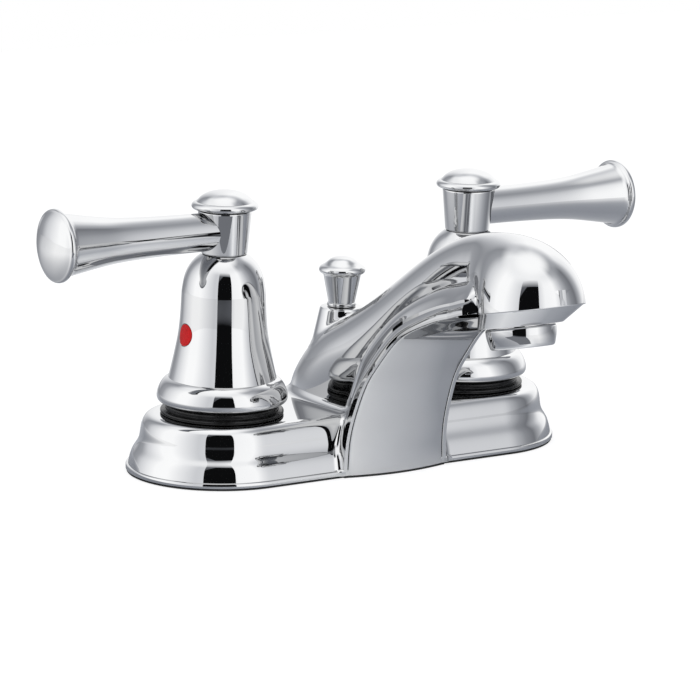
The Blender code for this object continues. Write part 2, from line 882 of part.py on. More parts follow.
def handle(side_name, side, index_color):
    """All the pieces of one handle, turned about an empty on the handle's axis."""
    axis = bpy.data.objects.new(side_name + "_handle_axis", None)
    parts.objects.link(axis)
    axis.location = (side * half_spacing, 0, 0)
    axis.rotation_euler = (0, 0, 0 if side > 0 else math.pi)
    pieces = []

    bell = turned("handle_bell_" + side_name, bell_outline + bell_inside, finish=chrome)
    past_bell = button_face + overcut
    web_low, web_high = boss_radius - 0.0010, button_seat - 0.0004
    screw_web = cylinder("screw_web_" + side_name, screw_web_radius, web_low, web_high, steps=small_steps)
    screw_hole = cylinder("screw_hole_" + side_name, set_screw_radius + gap, 0.0, past_bell, steps=16)
    recess = cylinder(
        "button_recess_" + side_name, button_radius + gap, button_seat, past_bell, steps=hidden_steps
    )
    for tool, step in ((screw_web, "UNION"), (screw_hole, "DIFFERENCE"), (recess, "DIFFERENCE")):
        tool.matrix_world = Matrix.Translation((0, 0, button_height)) @ sideways
        boolean(bell, tool, step)
        pieces.append(tool)
    pieces.append(bell)

    hub = turned(
        "handle_hub_" + side_name,
        neck_profile(0, bell_top + gap, neck_top)[:3]
        + [
            (spigot_radius, bell_top + gap),
            (spigot_radius, spigot_bottom),
            (0, spigot_bottom),
        ],
        finish=chrome,
        steps=hidden_steps,
    )
    stud_hole = cylinder(
        "stud_hole_" + side_name, cap_stud_radius + gap, stud_bottom - gap, cap_top + overcut, steps=16
    )
    stub_seat = cap_stud_radius + gap + stud_wall
    stub_hole = cylinder(
        "stub_hole_" + side_name,
        lever_stub_radius + gap,
        stub_seat - gap,
        neck_top_radius + overcut,
        steps=small_steps,
    )
    stub_hole.matrix_world = Matrix.Translation((0, 0, lever_height)) @ sideways
    boolean(boolean(hub, stud_hole), stub_hole)
    pieces += [hub, stud_hole, stub_hole]

    cap_foot = neck_top + gap
    pieces.append(
        turned(
            "neck_cap_" + side_name,
            [
                (0, cap_top),
                (0.0030, cap_top - 0.0002),
                (0.0062, cap_top - 0.0011),
                (0.0088, cap_top - 0.0027),
                (0.0098, cap_top - 0.0040),
                (cap_radius - 0.0006, cap_top - 0.0045),
                (cap_radius, cap_top - 0.0054),
                (cap_radius - 0.0006, cap_top - 0.0062),
                (neck_top_radius, cap_foot),
                (cap_stud_radius, cap_foot),
                (cap_stud_radius, stud_bottom),
                (0, stud_bottom),
            ],
            finish=chrome,
            steps=hidden_steps,
        )
    )

    lever_outline = [(r, lever_length - back * lever_length) for r, back in lever_rows]
    lever = turned(
        "lever_" + side_name,
        lever_outline + [(lever_root_radius, spigot_radius), (0, spigot_radius)],
        finish=chrome,
        steps=hidden_steps,
    )
    cope_reach = lever_root_radius + overcut
    cope = turned(
        "lever_cope_" + side_name,
        neck_profile(gap, lever_height - cope_reach, lever_height + cope_reach),
        cutters,
    )
    turn_back = Matrix.Translation((0, 0, lever_height)) @ sideways
    lever.matrix_world = turn_back
    boolean(lever, cope)
    stub = cylinder(
        "lever_stub_" + side_name,
        lever_stub_radius,
        stub_seat,
        neck_top_radius + overcut,
        steps=small_steps,
    )
    stub.matrix_world = turn_back
    boolean(lever, stub, "UNION")
    pieces += [lever, cope, stub]

    button = turned(
        "index_button_" + side_name,
        [
            (0, button_thickness + 0.0002),
            (button_radius * 0.6, button_thickness + 0.0001),
            (button_radius, button_thickness - 0.0003),
            (button_radius, gap),
            (0, gap),
        ],
        finish=index_color,
        steps=hidden_steps,
    )
    button.matrix_world = Matrix.Translation((button_seat, 0, button_height)) @ sideways
    screw_low, screw_high = stem_radius + gap, button_seat - gap
    set_screw = cylinder(
        "set_screw_" + side_name, set_screw_radius, screw_low, screw_high, parts, steel, 16
    )
    set_screw.matrix_world = Matrix.Translation((0, 0, button_height)) @ sideways
    stem = turned(
        "valve_stem_" + side_name,
        [
            (0, stem_top),
            (stem_radius - 0.0006, stem_top),
            (stem_radius, stem_top - 0.0006),
            (stem_radius, stem_bottom),
            (0, stem_bottom),
        ],
        finish=brass,
        steps=small_steps,
    )
    pieces += [button, set_screw, stem]
    for piece in pieces:
        piece.parent = axis


handle("hot", -1, hot_red)
handle("cold", 1, cold_blue)


def hex_nut(name, flats, low, high, bore, finish):
    """A six-sided nut with chamfered corners left plain and a round bore."""
    nut = cylinder(name, flats / math.sqrt(3), low, high, parts, finish, 6)
    hole = cylinder(name + "_bore", bore, low - overcut, high + overcut, steps=hidden_steps)
    boolean(nut, hole)
    return [nut, hole]


def valve(side_name, side):
    """The fixed pieces on one handle axis: valve body, ring, cartridge, bonnet nut, washer and nut."""
    shoulder = inner_top - gap
    ring_seat = base_height + gap
    pieces = [
        turned(
            "valve_body_" + side_name,
            [
                (valve_thread_radius, valve_top),
                (valve_thread_radius, shoulder),
                (valve_thread_radius + valve_shoulder, shoulder),
                (valve_thread_radius + valve_shoulder, waterway_high + gap),
                (valve_body_radius, waterway_high + gap),
                (valve_body_radius, waterway_low - 0.0018),
                (shank_radius, waterway_low - 0.0026),
                (shank_radius, shank_bottom + 0.0008),
                (shank_radius - 0.0008, shank_bottom),
                (shank_bore, shank_bottom),
                (shank_bore, cartridge_low - gap - 0.0010),
                (cartridge_radius + gap, cartridge_low - gap),
                (cartridge_radius + gap, valve_top),
            ],
            finish=brass,
        ),
        turned(
            "retaining_ring_" + side_name,
            [
                (ring_lip_radius, ring_seat + ring_height),
                (ring_lip_radius, bell_bottom - gap),
                (ring_radius - 0.0004, bell_bottom - gap),
                (ring_radius, bell_bottom - gap - 0.0004),
                (ring_radius, ring_seat),
                (valve_thread_radius + gap, ring_seat),
                (valve_thread_radius + gap, ring_seat + ring_height),
            ],
            finish=black_plastic,
        ),
        turned(
            "cartridge_" + side_name,
            [
                (stem_radius + gap, cartridge_top),
                (cartridge_neck_radius - 0.0005, cartridge_top),
                (cartridge_neck_radius, cartridge_top - 0.0005),
                (cartridge_neck_radius, valve_top),
                (cartridge_radius, valve_top - 0.0005),
                (cartridge_radius, cartridge_low),
                (0, cartridge_low),
                (0, stem_bottom - gap),
                (stem_radius + gap, stem_bottom - gap),
            ],
            finish=white_plastic,
            steps=hidden_steps,
        ),
        turned(
            "mounting_washer_" + side_name,
            [
                (washer_radius - 0.0005, deck_clamp_z),
                (washer_radius, deck_clamp_z - 0.0005),
                (washer_radius, deck_clamp_z - washer_thickness),
                (shank_radius + gap, deck_clamp_z - washer_thickness),
                (shank_radius + gap, deck_clamp_z),
            ],
            finish=black_plastic,
        ),
    ]
    bonnet_low = valve_top + gap
    pieces += hex_nut(
        "bonnet_nut_" + side_name,
        bonnet_flats,
        bonnet_low,
        bonnet_low + bonnet_height,
        cartridge_neck_radius + gap,
        brass,
    )
    nut_top = deck_clamp_z - washer_thickness - gap
    pieces += hex_nut(
        "mounting_nut_" + side_name, nut_flats, nut_top - nut_height, nut_top, shank_radius + gap, brass
    )
    for piece in pieces:
        piece.location.x = side * half_spacing


valve("hot", -1)
valve("cold", 1)
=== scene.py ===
"""Looks of the centerset bathroom faucet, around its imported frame. Metres, +Z up, spout towards -Y."""

import math

import bmesh
import bpy
import numpy as np
from mathutils import Matrix, Vector
from mathutils.bvhtree import BVHTree
from mathutils.kdtree import KDTree


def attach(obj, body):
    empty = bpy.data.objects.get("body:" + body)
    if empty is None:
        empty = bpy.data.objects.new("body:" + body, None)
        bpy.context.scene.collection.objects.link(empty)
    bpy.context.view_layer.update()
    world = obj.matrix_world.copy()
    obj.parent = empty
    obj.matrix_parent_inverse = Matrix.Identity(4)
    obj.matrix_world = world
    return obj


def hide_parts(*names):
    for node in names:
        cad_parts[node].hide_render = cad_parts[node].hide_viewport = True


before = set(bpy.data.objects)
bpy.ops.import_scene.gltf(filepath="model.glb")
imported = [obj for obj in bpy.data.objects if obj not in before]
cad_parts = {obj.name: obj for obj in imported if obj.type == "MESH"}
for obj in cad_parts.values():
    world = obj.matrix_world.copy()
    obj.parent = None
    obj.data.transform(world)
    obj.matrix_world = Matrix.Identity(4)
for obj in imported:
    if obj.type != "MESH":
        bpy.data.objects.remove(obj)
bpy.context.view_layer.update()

# Camera
# A long lens a little above the faucet, to the left of its front, as the photo was taken.
# Its place, turn and focal length come from a fit to round and level features of the photo.
picture_width, focal_pixels, sensor_width = 700, 3600.52, 36.0
camera_data = bpy.data.cameras.new("camera")
camera_data.sensor_width = sensor_width
camera_data.lens = focal_pixels / picture_width * sensor_width
camera_data.clip_start = 0.05
camera = bpy.data.objects.new("camera", camera_data)
bpy.context.scene.collection.objects.link(camera)
camera_place = Matrix.Translation((-0.686129, -1.029694, 0.302967))
camera_right = (0.833921, -0.551456, 0.021732)
camera_up = (0.098307, 0.187179, 0.977394)
camera_back = (-0.543058, -0.812933, 0.210304)
camera.matrix_world = camera_place @ Matrix((camera_right, camera_up, camera_back)).transposed().to_4x4()
bpy.context.scene.camera = camera
bpy.context.scene.view_settings.view_transform = "Standard"


# Floor
# A plain white sweep under the faucet. The camera sees it white, with the faucet's soft shadow
# on it. In the chrome its near part carries painted light and shade, palest just left of the
# middle and greyer to both sides, as well as real shadows, and further off it glows in the greys of the
# walls.
def to_light(grey):
    """How much light gives a grey that is named as it looks on a screen."""
    return ((grey + 0.055) / 1.055) ** 2.4


def add_node(tree, kind, inputs=None, **settings):
    """A shader node with its settings. Its inputs are plain values or the outputs of other nodes."""
    made = tree.nodes.new("ShaderNode" + kind)
    for name, value in settings.items():
        setattr(made, name, value)
    for name, value in (inputs or {}).items():
        if isinstance(value, bpy.types.NodeSocket):
            tree.links.new(value, made.inputs[name])
        else:
            made.inputs[name].default_value = value
    return made


def new_paint(name):
    """A new material and its empty node tree."""
    made = bpy.data.materials.new(name)
    made.use_nodes = True
    made.node_tree.nodes.clear()
    return made, made.node_tree


def grey_ramp(tree, place, stops, cool=0.02):
    """A ramp of slightly cool greys, as (place, grey) stops in rising order of place."""
    ramp = add_node(tree, "ValToRGB", {"Fac": place})
    steps = ramp.color_ramp.elements
    for at, grey in stops[1:-1]:
        steps.new(at)
    for step, (at, grey) in zip(steps, stops):
        step.position = at
        tint = cool * 4 * grey * (1 - grey)
        step.color = (to_light(grey - 0.4 * tint), to_light(grey), to_light(grey + tint), 1)
    return ramp.outputs["Color"]


def math_node(tree, operation, first, second=0.0):
    """One sum on two values."""
    return add_node(tree, "Math", {0: first, 1: second}, operation=operation).outputs[0]


def rising(tree, value, low, high):
    """A soft step from nought to one between two levels of a value."""
    levels = {"Value": value, "From Min": low, "From Max": high}
    return add_node(tree, "MapRange", levels, interpolation_type="SMOOTHSTEP").outputs[0]


kept_by_plating = 0.60


def which_ray(tree):
    """Whether a ray comes from the camera, whether it comes from metal or glass, and its strength.

    The strength falls each time that metal mirrors metal, as plating takes up some of the light."""
    ray = add_node(tree, "LightPath").outputs
    from_metal = math_node(tree, "MAXIMUM", ray["Is Glossy Ray"], ray["Is Transmission Ray"])
    mirrors = math_node(tree, "MAXIMUM", ray["Glossy Depth"], 1.0)
    strength = math_node(tree, "POWER", kept_by_plating, math_node(tree, "SUBTRACT", mirrors, 1.0))
    return ray["Is Camera Ray"], from_metal, strength


def by_azimuth(tree, across, along, greys):
    """Greys that change round the upright axis, given as (degrees from +X towards +Y, grey)."""
    turn = math_node(tree, "ARCTAN2", along, across)
    share = add_node(tree, "MapRange", {"Value": turn, "From Min": -math.pi, "From Max": math.pi})
    return grey_ramp(tree, share.outputs[0], [((degrees + 180) / 360, grey) for degrees, grey in greys])


tent_walls = [
    (-180, 0.97), (-165, 0.90), (-148, 0.81), (-110, 0.86), (-96, 0.98), (-72, 1.0), (-58, 0.85), (-45, 0.70),
    (-30, 0.55), (-15, 0.46), (0, 0.70), (13, 0.93), (28, 1.0), (52, 1.0), (66, 0.93), (78, 0.78),
    (92, 0.56), (106, 0.62), (120, 0.82), (135, 0.92), (152, 1.0), (172, 1.0), (180, 0.97),
]

floor_half, floor_height = 1.0, -0.0002
near_half, near_end, far_start = 0.10, 0.05, 0.45
floor_mesh = bpy.data.meshes.new("floor")
corner_signs = ((-1, -1), (1, -1), (1, 1), (-1, 1))
floor_corners = [(x * floor_half, y * floor_half, floor_height) for x, y in corner_signs]
floor_mesh.from_pydata(floor_corners, [], [(0, 1, 2, 3)])
floor = bpy.data.objects.new("floor", floor_mesh)
bpy.context.scene.collection.objects.link(floor)

floor_paint, tree = new_paint("floor_paint")
to_camera, to_metal, strength = which_ray(tree)
matte = add_node(tree, "BsdfDiffuse", {"Color": (0.86, 0.86, 0.87, 1)})
shadow_catcher = add_node(tree, "BsdfDiffuse", {"Color": (0.30, 0.30, 0.31, 1)})
white_glow = add_node(tree, "Emission", {"Color": (1, 1, 1, 1), "Strength": 0.80})
seen_floor = add_node(tree, "AddShader", {0: shadow_catcher.outputs[0], 1: white_glow.outputs[0]})
place = add_node(tree, "TexCoord").outputs["Object"]
spot = add_node(tree, "SeparateXYZ", {0: place})
wall_greys = by_azimuth(tree, spot.outputs["X"], spot.outputs["Y"], tent_walls)
wall_strength = math_node(tree, "MULTIPLY", strength, 0.9)
wall_shine = add_node(tree, "Emission", {"Color": wall_greys, "Strength": wall_strength})
# Painted light and shade on the near floor, seen only in the chrome: greys across X, palest just left of the
# middle and greyer to both sides. Real shadows still fall on it.
painted_near_light_greys = [(0, 0.52), (0.25, 0.74), (0.42, 0.96), (0.52, 0.88), (0.72, 0.66), (1, 0.62)]
near_span = {"Value": spot.outputs["X"], "From Min": -near_half, "From Max": near_half}
near_share = add_node(tree, "MapRange", near_span)
painted_near_light_ramp = grey_ramp(tree, near_share.outputs[0], painted_near_light_greys, 0.03)
painted_near_light = add_node(tree, "MixRGB", {"Fac": strength, "Color1": (0, 0, 0, 1), "Color2": painted_near_light_ramp})
painted_near_floor = add_node(tree, "BsdfDiffuse", {"Color": painted_near_light.outputs[0]})
distance = add_node(tree, "VectorMath", {0: place}, operation="LENGTH").outputs["Value"]
far_off = rising(tree, distance, near_end, far_start)
mirrored_floor = add_node(tree, "MixShader", {0: far_off, 1: painted_near_floor.outputs[0], 2: wall_shine.outputs[0]})
metal_mix = add_node(tree, "MixShader", {0: to_metal, 1: matte.outputs[0], 2: mirrored_floor.outputs[0]})
camera_mix = add_node(tree, "MixShader", {0: to_camera, 1: metal_mix.outputs[0], 2: seen_floor.outputs[0]})
add_node(tree, "OutputMaterial", {"Surface": camera_mix.outputs[0]})
floor_mesh.materials.append(floor_paint)

# Studio light
# A white tent round the faucet, brightest at the left, in front and behind the right, with grey
# between. On the camera's side hangs a black cloth, with a pale haze behind its top, and a grey
# sheet on the floor before it is the cloth's painted shadow.
tent_top = [
    (-180, 0.96), (-130, 0.96), (-75, 0.94), (-55, 0.68), (-25, 0.61), (0, 0.67), (30, 0.80), (50, 0.84),
    (65, 0.77), (90, 0.82), (110, 0.94), (180, 0.96),
]
world = bpy.data.worlds.new("studio")
bpy.context.scene.world = world
world.use_nodes = True
tree = world.node_tree
tree.nodes.clear()
to_camera, to_metal, strength = which_ray(tree)
way = add_node(tree, "SeparateXYZ", {0: add_node(tree, "TexCoord").outputs["Generated"]})
walls, top = (by_azimuth(tree, way.outputs["X"], way.outputs["Y"], greys) for greys in (tent_walls, tent_top))
to_top = rising(tree, way.outputs["Z"], 0.64, 0.85)
to_roof = rising(tree, way.outputs["Z"], 0.84, 0.99)
upper = add_node(tree, "MixRGB", {"Fac": to_roof, "Color1": top, "Color2": (1, 1, 1, 1)})
tent = add_node(tree, "MixRGB", {"Fac": to_top, "Color1": walls, "Color2": upper.outputs[0]})
tent_light = add_node(tree, "Background", {"Color": tent.outputs[0], "Strength": strength})
white = add_node(tree, "Background", {"Color": (1, 1, 1, 1), "Strength": 1.0})
soft = add_node(tree, "Background", {"Color": (0.98, 0.99, 1.0, 1), "Strength": 0.75})
metal_mix = add_node(tree, "MixShader", {0: to_metal, 1: soft.outputs[0], 2: tent_light.outputs[0]})
camera_mix = add_node(tree, "MixShader", {0: to_camera, 1: metal_mix.outputs[0], 2: white.outputs[0]})
add_node(tree, "OutputWorld", {"Surface": camera_mix.outputs[0]})


def soft_box(name, place, size, power):
    """A square lamp that faces the faucet, kept out of the chrome."""
    data = bpy.data.lights.new(name, "AREA")
    data.size, data.energy = size, power
    lamp = bpy.data.objects.new(name, data)
    bpy.context.scene.collection.objects.link(lamp)
    lamp.location = place
    lamp.rotation_euler = (Vector((0, 0, 0.05)) - lamp.location).to_track_quat("-Z", "Y").to_euler()
    lamp.visible_glossy = False


soft_box("left_box", (-1.3, -0.6, 1.0), 0.8, 6.0)
soft_box("right_box", (1.1, -1.0, 1.2), 0.8, 4.0)

cloth_distance, cloth_half, cloth_azimuth = 0.45, 0.146, math.radians(-123.7)
cloth_way = Vector((math.cos(cloth_azimuth), math.sin(cloth_azimuth), 0))
cloth_across = Vector((-cloth_way.y, cloth_way.x, 0))


def cloth(name, outline, stops, low=0.0, high=1.0):
    """A staged cloth in front of the camera, in greys that change from its low to its high edge.

    Its outline is given as places across, nearer to the faucet and up."""
    mesh = bpy.data.meshes.new(name)
    points = [cloth_across * a + cloth_way * (cloth_distance - b) + Vector((0, 0, z)) for a, b, z in outline]
    mesh.from_pydata(points, [], [tuple(range(len(points)))])
    paint, tree = new_paint(name + "_paint")
    height = add_node(tree, "SeparateXYZ", {0: add_node(tree, "TexCoord").outputs["Object"]}).outputs["Z"]
    share = add_node(tree, "MapRange", {"Value": height, "From Min": low, "From Max": high})
    greys = grey_ramp(tree, share.outputs[0], stops)
    glow = add_node(tree, "Emission", {"Color": greys, "Strength": which_ray(tree)[2]})
    add_node(tree, "OutputMaterial", {"Surface": glow.outputs[0]})
    mesh.materials.append(paint)
    obj = bpy.data.objects.new(name, mesh)
    bpy.context.scene.collection.objects.link(obj)
    obj.visible_camera = obj.visible_diffuse = obj.visible_shadow = False


cloth_low, cloth_high, cloth_shoulder, haze_top = 0.002, 0.400, 0.24, 0.56
haze_near, painted_shadow_reach = -0.002, 0.22
left, right = -cloth_half, cloth_half
black_outline = [(left, 0, cloth_low), (right, 0, cloth_low), (right, 0, cloth_high)]
black_outline += [(0.3 * left, 0, cloth_high), (left, 0, cloth_shoulder)]
black_greys = [(0, 0.34), (0.022, 0.32), (0.060, 0.05), (1, 0.05)]
cloth("black_cloth", black_outline, black_greys, cloth_low, cloth_high)
haze_outline = [(left, haze_near, cloth_shoulder), (right, haze_near, cloth_shoulder)]
haze_outline += [(right, haze_near, haze_top), (left, haze_near, haze_top)]
cloth("cloth_haze", haze_outline, [(0, 0.28), (0.50, 0.38), (1, 0.92)], cloth_shoulder, haze_top)
# A grey sheet on the floor, from the cloth towards the faucet: the cloth's shadow, painted.
painted_shadow_outline = [(left, 0, cloth_low), (right, 0, cloth_low)]
painted_shadow_outline += [(right, painted_shadow_reach, cloth_low), (left, painted_shadow_reach, cloth_low)]
cloth("painted_cloth_shadow", painted_shadow_outline, [(0, 0.44), (1, 0.44)])


# Spout casting
# One hollow casting of plated brass: the long base, the tower, the arched neck and the head.
# It is polished all over, with a rounded inner corner wherever two of its forms meet.
base_bottom = 0.0008
half_spacing = 0.0508
tower_front, tower_back = 0.0326, 0.0262
head_radius, head_reach, head_rim_height = 0.0177, 0.1083, 0.0714
head_tilt = math.radians(13.0)
underside_radius, underside_drop, underside_setback = 0.0142, 0.0053, 0.0071
edge_strip, strip_depth = 0.00144, 0.0050
arch_ahead = [0.0, 0.0, 0.013, 0.057, 0.111, 0.177, 0.269, 0.362, 0.478, 0.606, 0.701]
arch_rise = [0.0, 0.102, 0.215, 0.357, 0.477, 0.569, 0.680, 0.761, 0.824, 0.881, 0.914]
crest_ahead = [0.0, 0.0, 0.003, 0.030, 0.120, 0.239, 0.384, 0.511, 0.630, 0.726, 0.787]
crest_rise = [0.0, 0.116, 0.265, 0.399, 0.574, 0.703, 0.863, 1.025, 1.169, 1.252, 1.285]
edge_width = [0.0213, 0.0211, 0.0208, 0.0203, 0.0198, 0.0194, 0.0189, 0.0185, 0.0181, 0.0178, 0.0175]
body_width = [0.0155, 0.0155, 0.0153, 0.0150, 0.0146, 0.0140, 0.0132, 0.0124, 0.0118, 0.0115, 0.0115]
back_square = [6.0, 6.0, 6.0, 5.5, 5.0, 4.4, 3.9, 3.5, 3.2, 3.0, 2.9]
strip_share, tower_flute, neck_flute = 0.03, 0.24, 0.42
tower_hollow, hollow_end = 0.23, 0.68
head_rear, head_crown, head_bulge = -0.0220, 0.0259, 2.35
neck_start, neck_fade, neck_blend = -0.0145, 0.0085, 0.0015
soft_start, soft_end, soft_low, soft_span = -0.0195, -0.0050, 0.18, 0.34
forward = Vector((0, -math.cos(head_tilt), math.sin(head_tilt)))
upward = Vector((0, math.sin(head_tilt), math.cos(head_tilt)))
head_centre = Vector((0, -head_reach, head_rim_height))
outlet_centre = head_centre - forward * underside_setback - upward * underside_drop


def spline(values, at, knots=None):
    """Natural cubic spline through the values, read at the places given."""
    values = np.asarray(values, float)
    knots = np.arange(len(values), dtype=float) if knots is None else np.asarray(knots, float)
    step = np.diff(knots)
    last = len(values) - 1
    bend = np.zeros((last + 1, last + 1))
    bend[0, 0] = bend[last, last] = 1
    right = np.zeros(last + 1)
    for i in range(1, last):
        bend[i, i - 1 : i + 2] = step[i - 1], 2 * (step[i - 1] + step[i]), step[i]
        right[i] = 6 * ((values[i + 1] - values[i]) / step[i] - (values[i] - values[i - 1]) / step[i - 1])
    second = np.linalg.solve(bend, right)
    at = np.asarray(at, float)
    i = np.clip(np.searchsorted(knots, at, side="right") - 1, 0, last - 1)
    size = step[i]
    high = (at - knots[i]) / size
    low = 1 - high
    curve = (low**3 - low) * second[i] + (high**3 - high) * second[i + 1]
    return low * values[i] + high * values[i + 1] + curve * size**2 / 6


def smooth_line(points, count):
    """A smooth line through points of a profile, as count points spread evenly along it."""
    points = np.asarray(points, float)
    knots = np.concatenate([[0], np.cumsum(np.linalg.norm(np.diff(points, axis=0), axis=1))])
    at = np.linspace(0, knots[-1], count)
    return np.stack([spline(points[:, k], at, knots) for k in range(points.shape[1])], 1)


def skin(name, grid, around=True, cap_start=False, cap_end=False, keep=None):
    """A mesh over a grid of points, in rows. Around joins each row's end to its start."""
    grid = np.asarray(grid, float)
    rows, columns = grid.shape[:2]
    points = grid.reshape(-1, 3)
    index = np.arange(rows * columns).reshape(rows, columns)
    beside = np.roll(index, -1, axis=1) if around else index[:, 1:]
    here = index if around else index[:, :-1]
    quads = np.stack([here[:-1], beside[:-1], beside[1:], here[1:]], -1).reshape(-1, 4)
    if keep is not None:
        quads = quads[np.asarray(keep, bool).reshape(-1)[quads].any(1)]
    faces = quads.tolist()
    if cap_start:
        faces.append(index[0][::-1].tolist())
    if cap_end:
        faces.append(index[-1].tolist())
    mesh = bpy.data.meshes.new(name)
    mesh.from_pydata(points.tolist(), [], faces)
    bm = bmesh.new()
    bm.from_mesh(mesh)
    bmesh.ops.remove_doubles(bm, verts=bm.verts, dist=1e-7)
    bmesh.ops.dissolve_degenerate(bm, edges=bm.edges, dist=1e-8)
    bm.to_mesh(mesh)
    bm.free()
    return mesh


def hermite(a, b, slope_a, slope_b, s):
    """Between two values or points, with the slopes given at each."""
    h = 2 * s**3 - 3 * s**2 + 1
    return a * h + b * (1 - h) + slope_a * (s**3 - 2 * s**2 + s) + slope_b * (s**3 - s**2)


def ease(share):
    """A soft step as a share goes from nought to one."""
    share = np.clip(share, 0, 1)
    return share * share * (3 - 2 * share)


def half_width(row, a):
    """Half the spout's width at share a of the way from the arch edge to the crest."""
    edge, body, square, hollow, flute, ahead = row[2:]
    dip = hollow * np.clip((hollow_end - a) / hollow_end, 0, 1) ** 1.5
    side = body * (np.sqrt(np.maximum(0, 1 - a**square)) - dip)
    stem = side + np.maximum(0, edge - side) * ease((flute - a) / (flute - strip_share))
    if ahead < soft_start:
        return stem
    round_side = np.sqrt(np.maximum(0, 1 - a**2))
    dome = math.sqrt(max(0.0, head_radius**2 - ahead**2)) * round_side
    if ahead > soft_end:
        return np.where(a == 0, edge, dome)
    stem = np.minimum(stem, edge)
    reach = np.minimum(neck_blend, 0.5 * np.maximum(stem, dome)) + 1e-9
    near = np.maximum(0, reach - np.abs(stem - dome)) / reach
    tight = np.maximum(stem, dome) + near * near * reach / 4
    full_width = math.sqrt(head_radius**2 - soft_end**2)
    slope = -soft_end / full_width * round_side * (soft_end - soft_start)
    share = (ahead - soft_start) / (soft_end - soft_start)
    soft = hermite(stem, full_width * round_side, 0.0, slope, share)
    return np.where(a == 0, edge, tight + (soft - tight) * ease((a - soft_low) / soft_span))


def crown(ahead):
    """Height of the crest over the head's rim plane."""
    share = min(1.0, max(0.0, (ahead - head_rear) / (head_radius - head_rear)))
    return head_crown * (1 - share**head_bulge) ** (1 / head_bulge)


def stem_row(t):
    """The stem's section at a station: arch and crest points, widths, squareness, hollow and flute.

    The last value is the section's place ahead of the head's middle."""
    arch_y = -tower_front - (head_reach - tower_front) * spline(arch_ahead, t)
    crest_y = tower_back - (head_reach + tower_back) * spline(crest_ahead, t)
    rim = head_rim_height - base_bottom
    arch = Vector((0, float(arch_y), float(base_bottom + rim * spline(arch_rise, t))))
    crest = Vector((0, float(crest_y), float(base_bottom + rim * spline(crest_rise, t))))
    widths = [float(spline(v, t)) for v in (edge_width, body_width, back_square)]
    fade = ease((7.0 - t) / 4.0)
    flute = neck_flute + (tower_flute - neck_flute) * fade
    return [arch, crest, *widths, tower_hollow * fade, flute, -1.0]


def head_row(ahead):
    """The head's section in a plane square to its tilted rim."""
    arch = head_centre + forward * ahead
    round_width = math.sqrt(max(0.0, head_radius**2 - ahead**2))
    fade = max(0.0, 1 - (ahead - neck_start) / neck_fade)
    edge = max(round_width, edge_width[-1] * fade)
    return [arch, arch + upward * crown(ahead), edge, body_width[-1], back_square[-1], 0.0, neck_flute, ahead]


spout_rows = [stem_row(t) for t in np.linspace(0, 1.5, 64)[:-1]]
spout_rows += [stem_row(t) for t in np.linspace(1.5, 3.4, 70)[:-1]]
spout_rows += [stem_row(t) for t in np.linspace(3.4, 10, 120)]
stem_end, head_start = spout_rows[-1], head_row(neck_start)
spout_rows[-1][-1] = (stem_end[0] - head_centre).dot(forward)
before_end, after_start = stem_row(9.9), head_row(neck_start + 0.0005)
for s in np.linspace(0, 1, 14)[1:-1]:
    points = []
    for k in (0, 1):
        span = (head_start[k] - stem_end[k]).length
        leaving = (stem_end[k] - before_end[k]).normalized() * span
        arriving = (after_start[k] - head_start[k]).normalized() * span
        points.append(hermite(stem_end[k], head_start[k], leaving, arriving, s))
    spout_rows.append([*points, *stem_end[2:7], (points[0] - head_centre).dot(forward)])
turns = np.linspace(0, math.pi / 2, 64)[:-1]
spout_rows += [head_row(neck_start + (head_radius - neck_start) * math.sin(turn)) for turn in turns]
spout_rows.append(head_row(head_radius - 1e-6))

flank_shares = np.concatenate(
    [
        np.linspace(0, strip_share, 5),
        np.linspace(strip_share, 0.20, 18)[1:],
        0.20 + 0.80 * np.sin(np.linspace(0, math.pi / 2, 44))[1:],
    ]
)


def section(row, shares):
    """A ring in the station's plane, up the right side, over the crest and down the left side."""
    arch, crest = np.array(row[0]), np.array(row[1])
    widths = half_width(row, shares)
    widths[-1] = 0.0
    middle = arch + np.outer(shares, crest - arch)
    right = middle.copy()
    right[:, 0] = widths
    left = middle[:-1][::-1].copy()
    left[:, 0] = -widths[:-1][::-1]
    return np.concatenate([right, left])


spout_grid = np.array([section(row, flank_shares) for row in spout_rows])

# The base: its foot has an upright rim, then it flares, coves in and stands upright under a round edge
rim_profile = [(0.0, base_bottom), (0.0, 0.0021), (0.0001, 0.0023), (0.0003, 0.0024)]
wall_profile = [
    (0.0008, 0.0025),
    (0.0014, 0.0050),
    (0.0024, 0.0076),
    (0.0035, 0.0093),
    (0.0044, 0.0112),
    (0.0049, 0.0140),
    (0.0054, 0.0166),
    (0.0062, 0.0184),
    (0.0074, 0.0195),
    (0.0092, 0.0200),
]
base_end, base_half_depth, base_top = 0.0334, 0.0318, 0.0200
top_profile = [(inset, base_top) for inset in np.linspace(0.0098, base_half_depth, 28)]
base_profile = np.concatenate([rim_profile, smooth_line(wall_profile, 40), top_profile])
arc = np.linspace(-math.pi / 2, math.pi / 2, 60)
runs = ((1, 0.52, 20), (0.52, 0.30, 40), (0.30, -0.30, 16), (-0.30, -0.52, 40), (-0.52, -1, 20))
run = np.concatenate([np.linspace(start, end, count)[1:] for start, end, count in runs])[:-1]


def oval(inset, height):
    """One ring of the base, drawn in by the inset: two half ellipses joined by straight runs."""
    end, side = base_end - inset, base_half_depth - inset
    ends = np.stack([half_spacing + end * np.cos(arc), side * np.sin(arc)], 1)
    straight = np.stack([half_spacing * run, np.full(len(run), side)], 1)
    half = np.concatenate([ends, straight])
    ring = np.concatenate([half, -half])
    return np.column_stack([ring, np.full(len(ring), height)])


base_grid = np.array([oval(inset, z) for inset, z in base_profile])

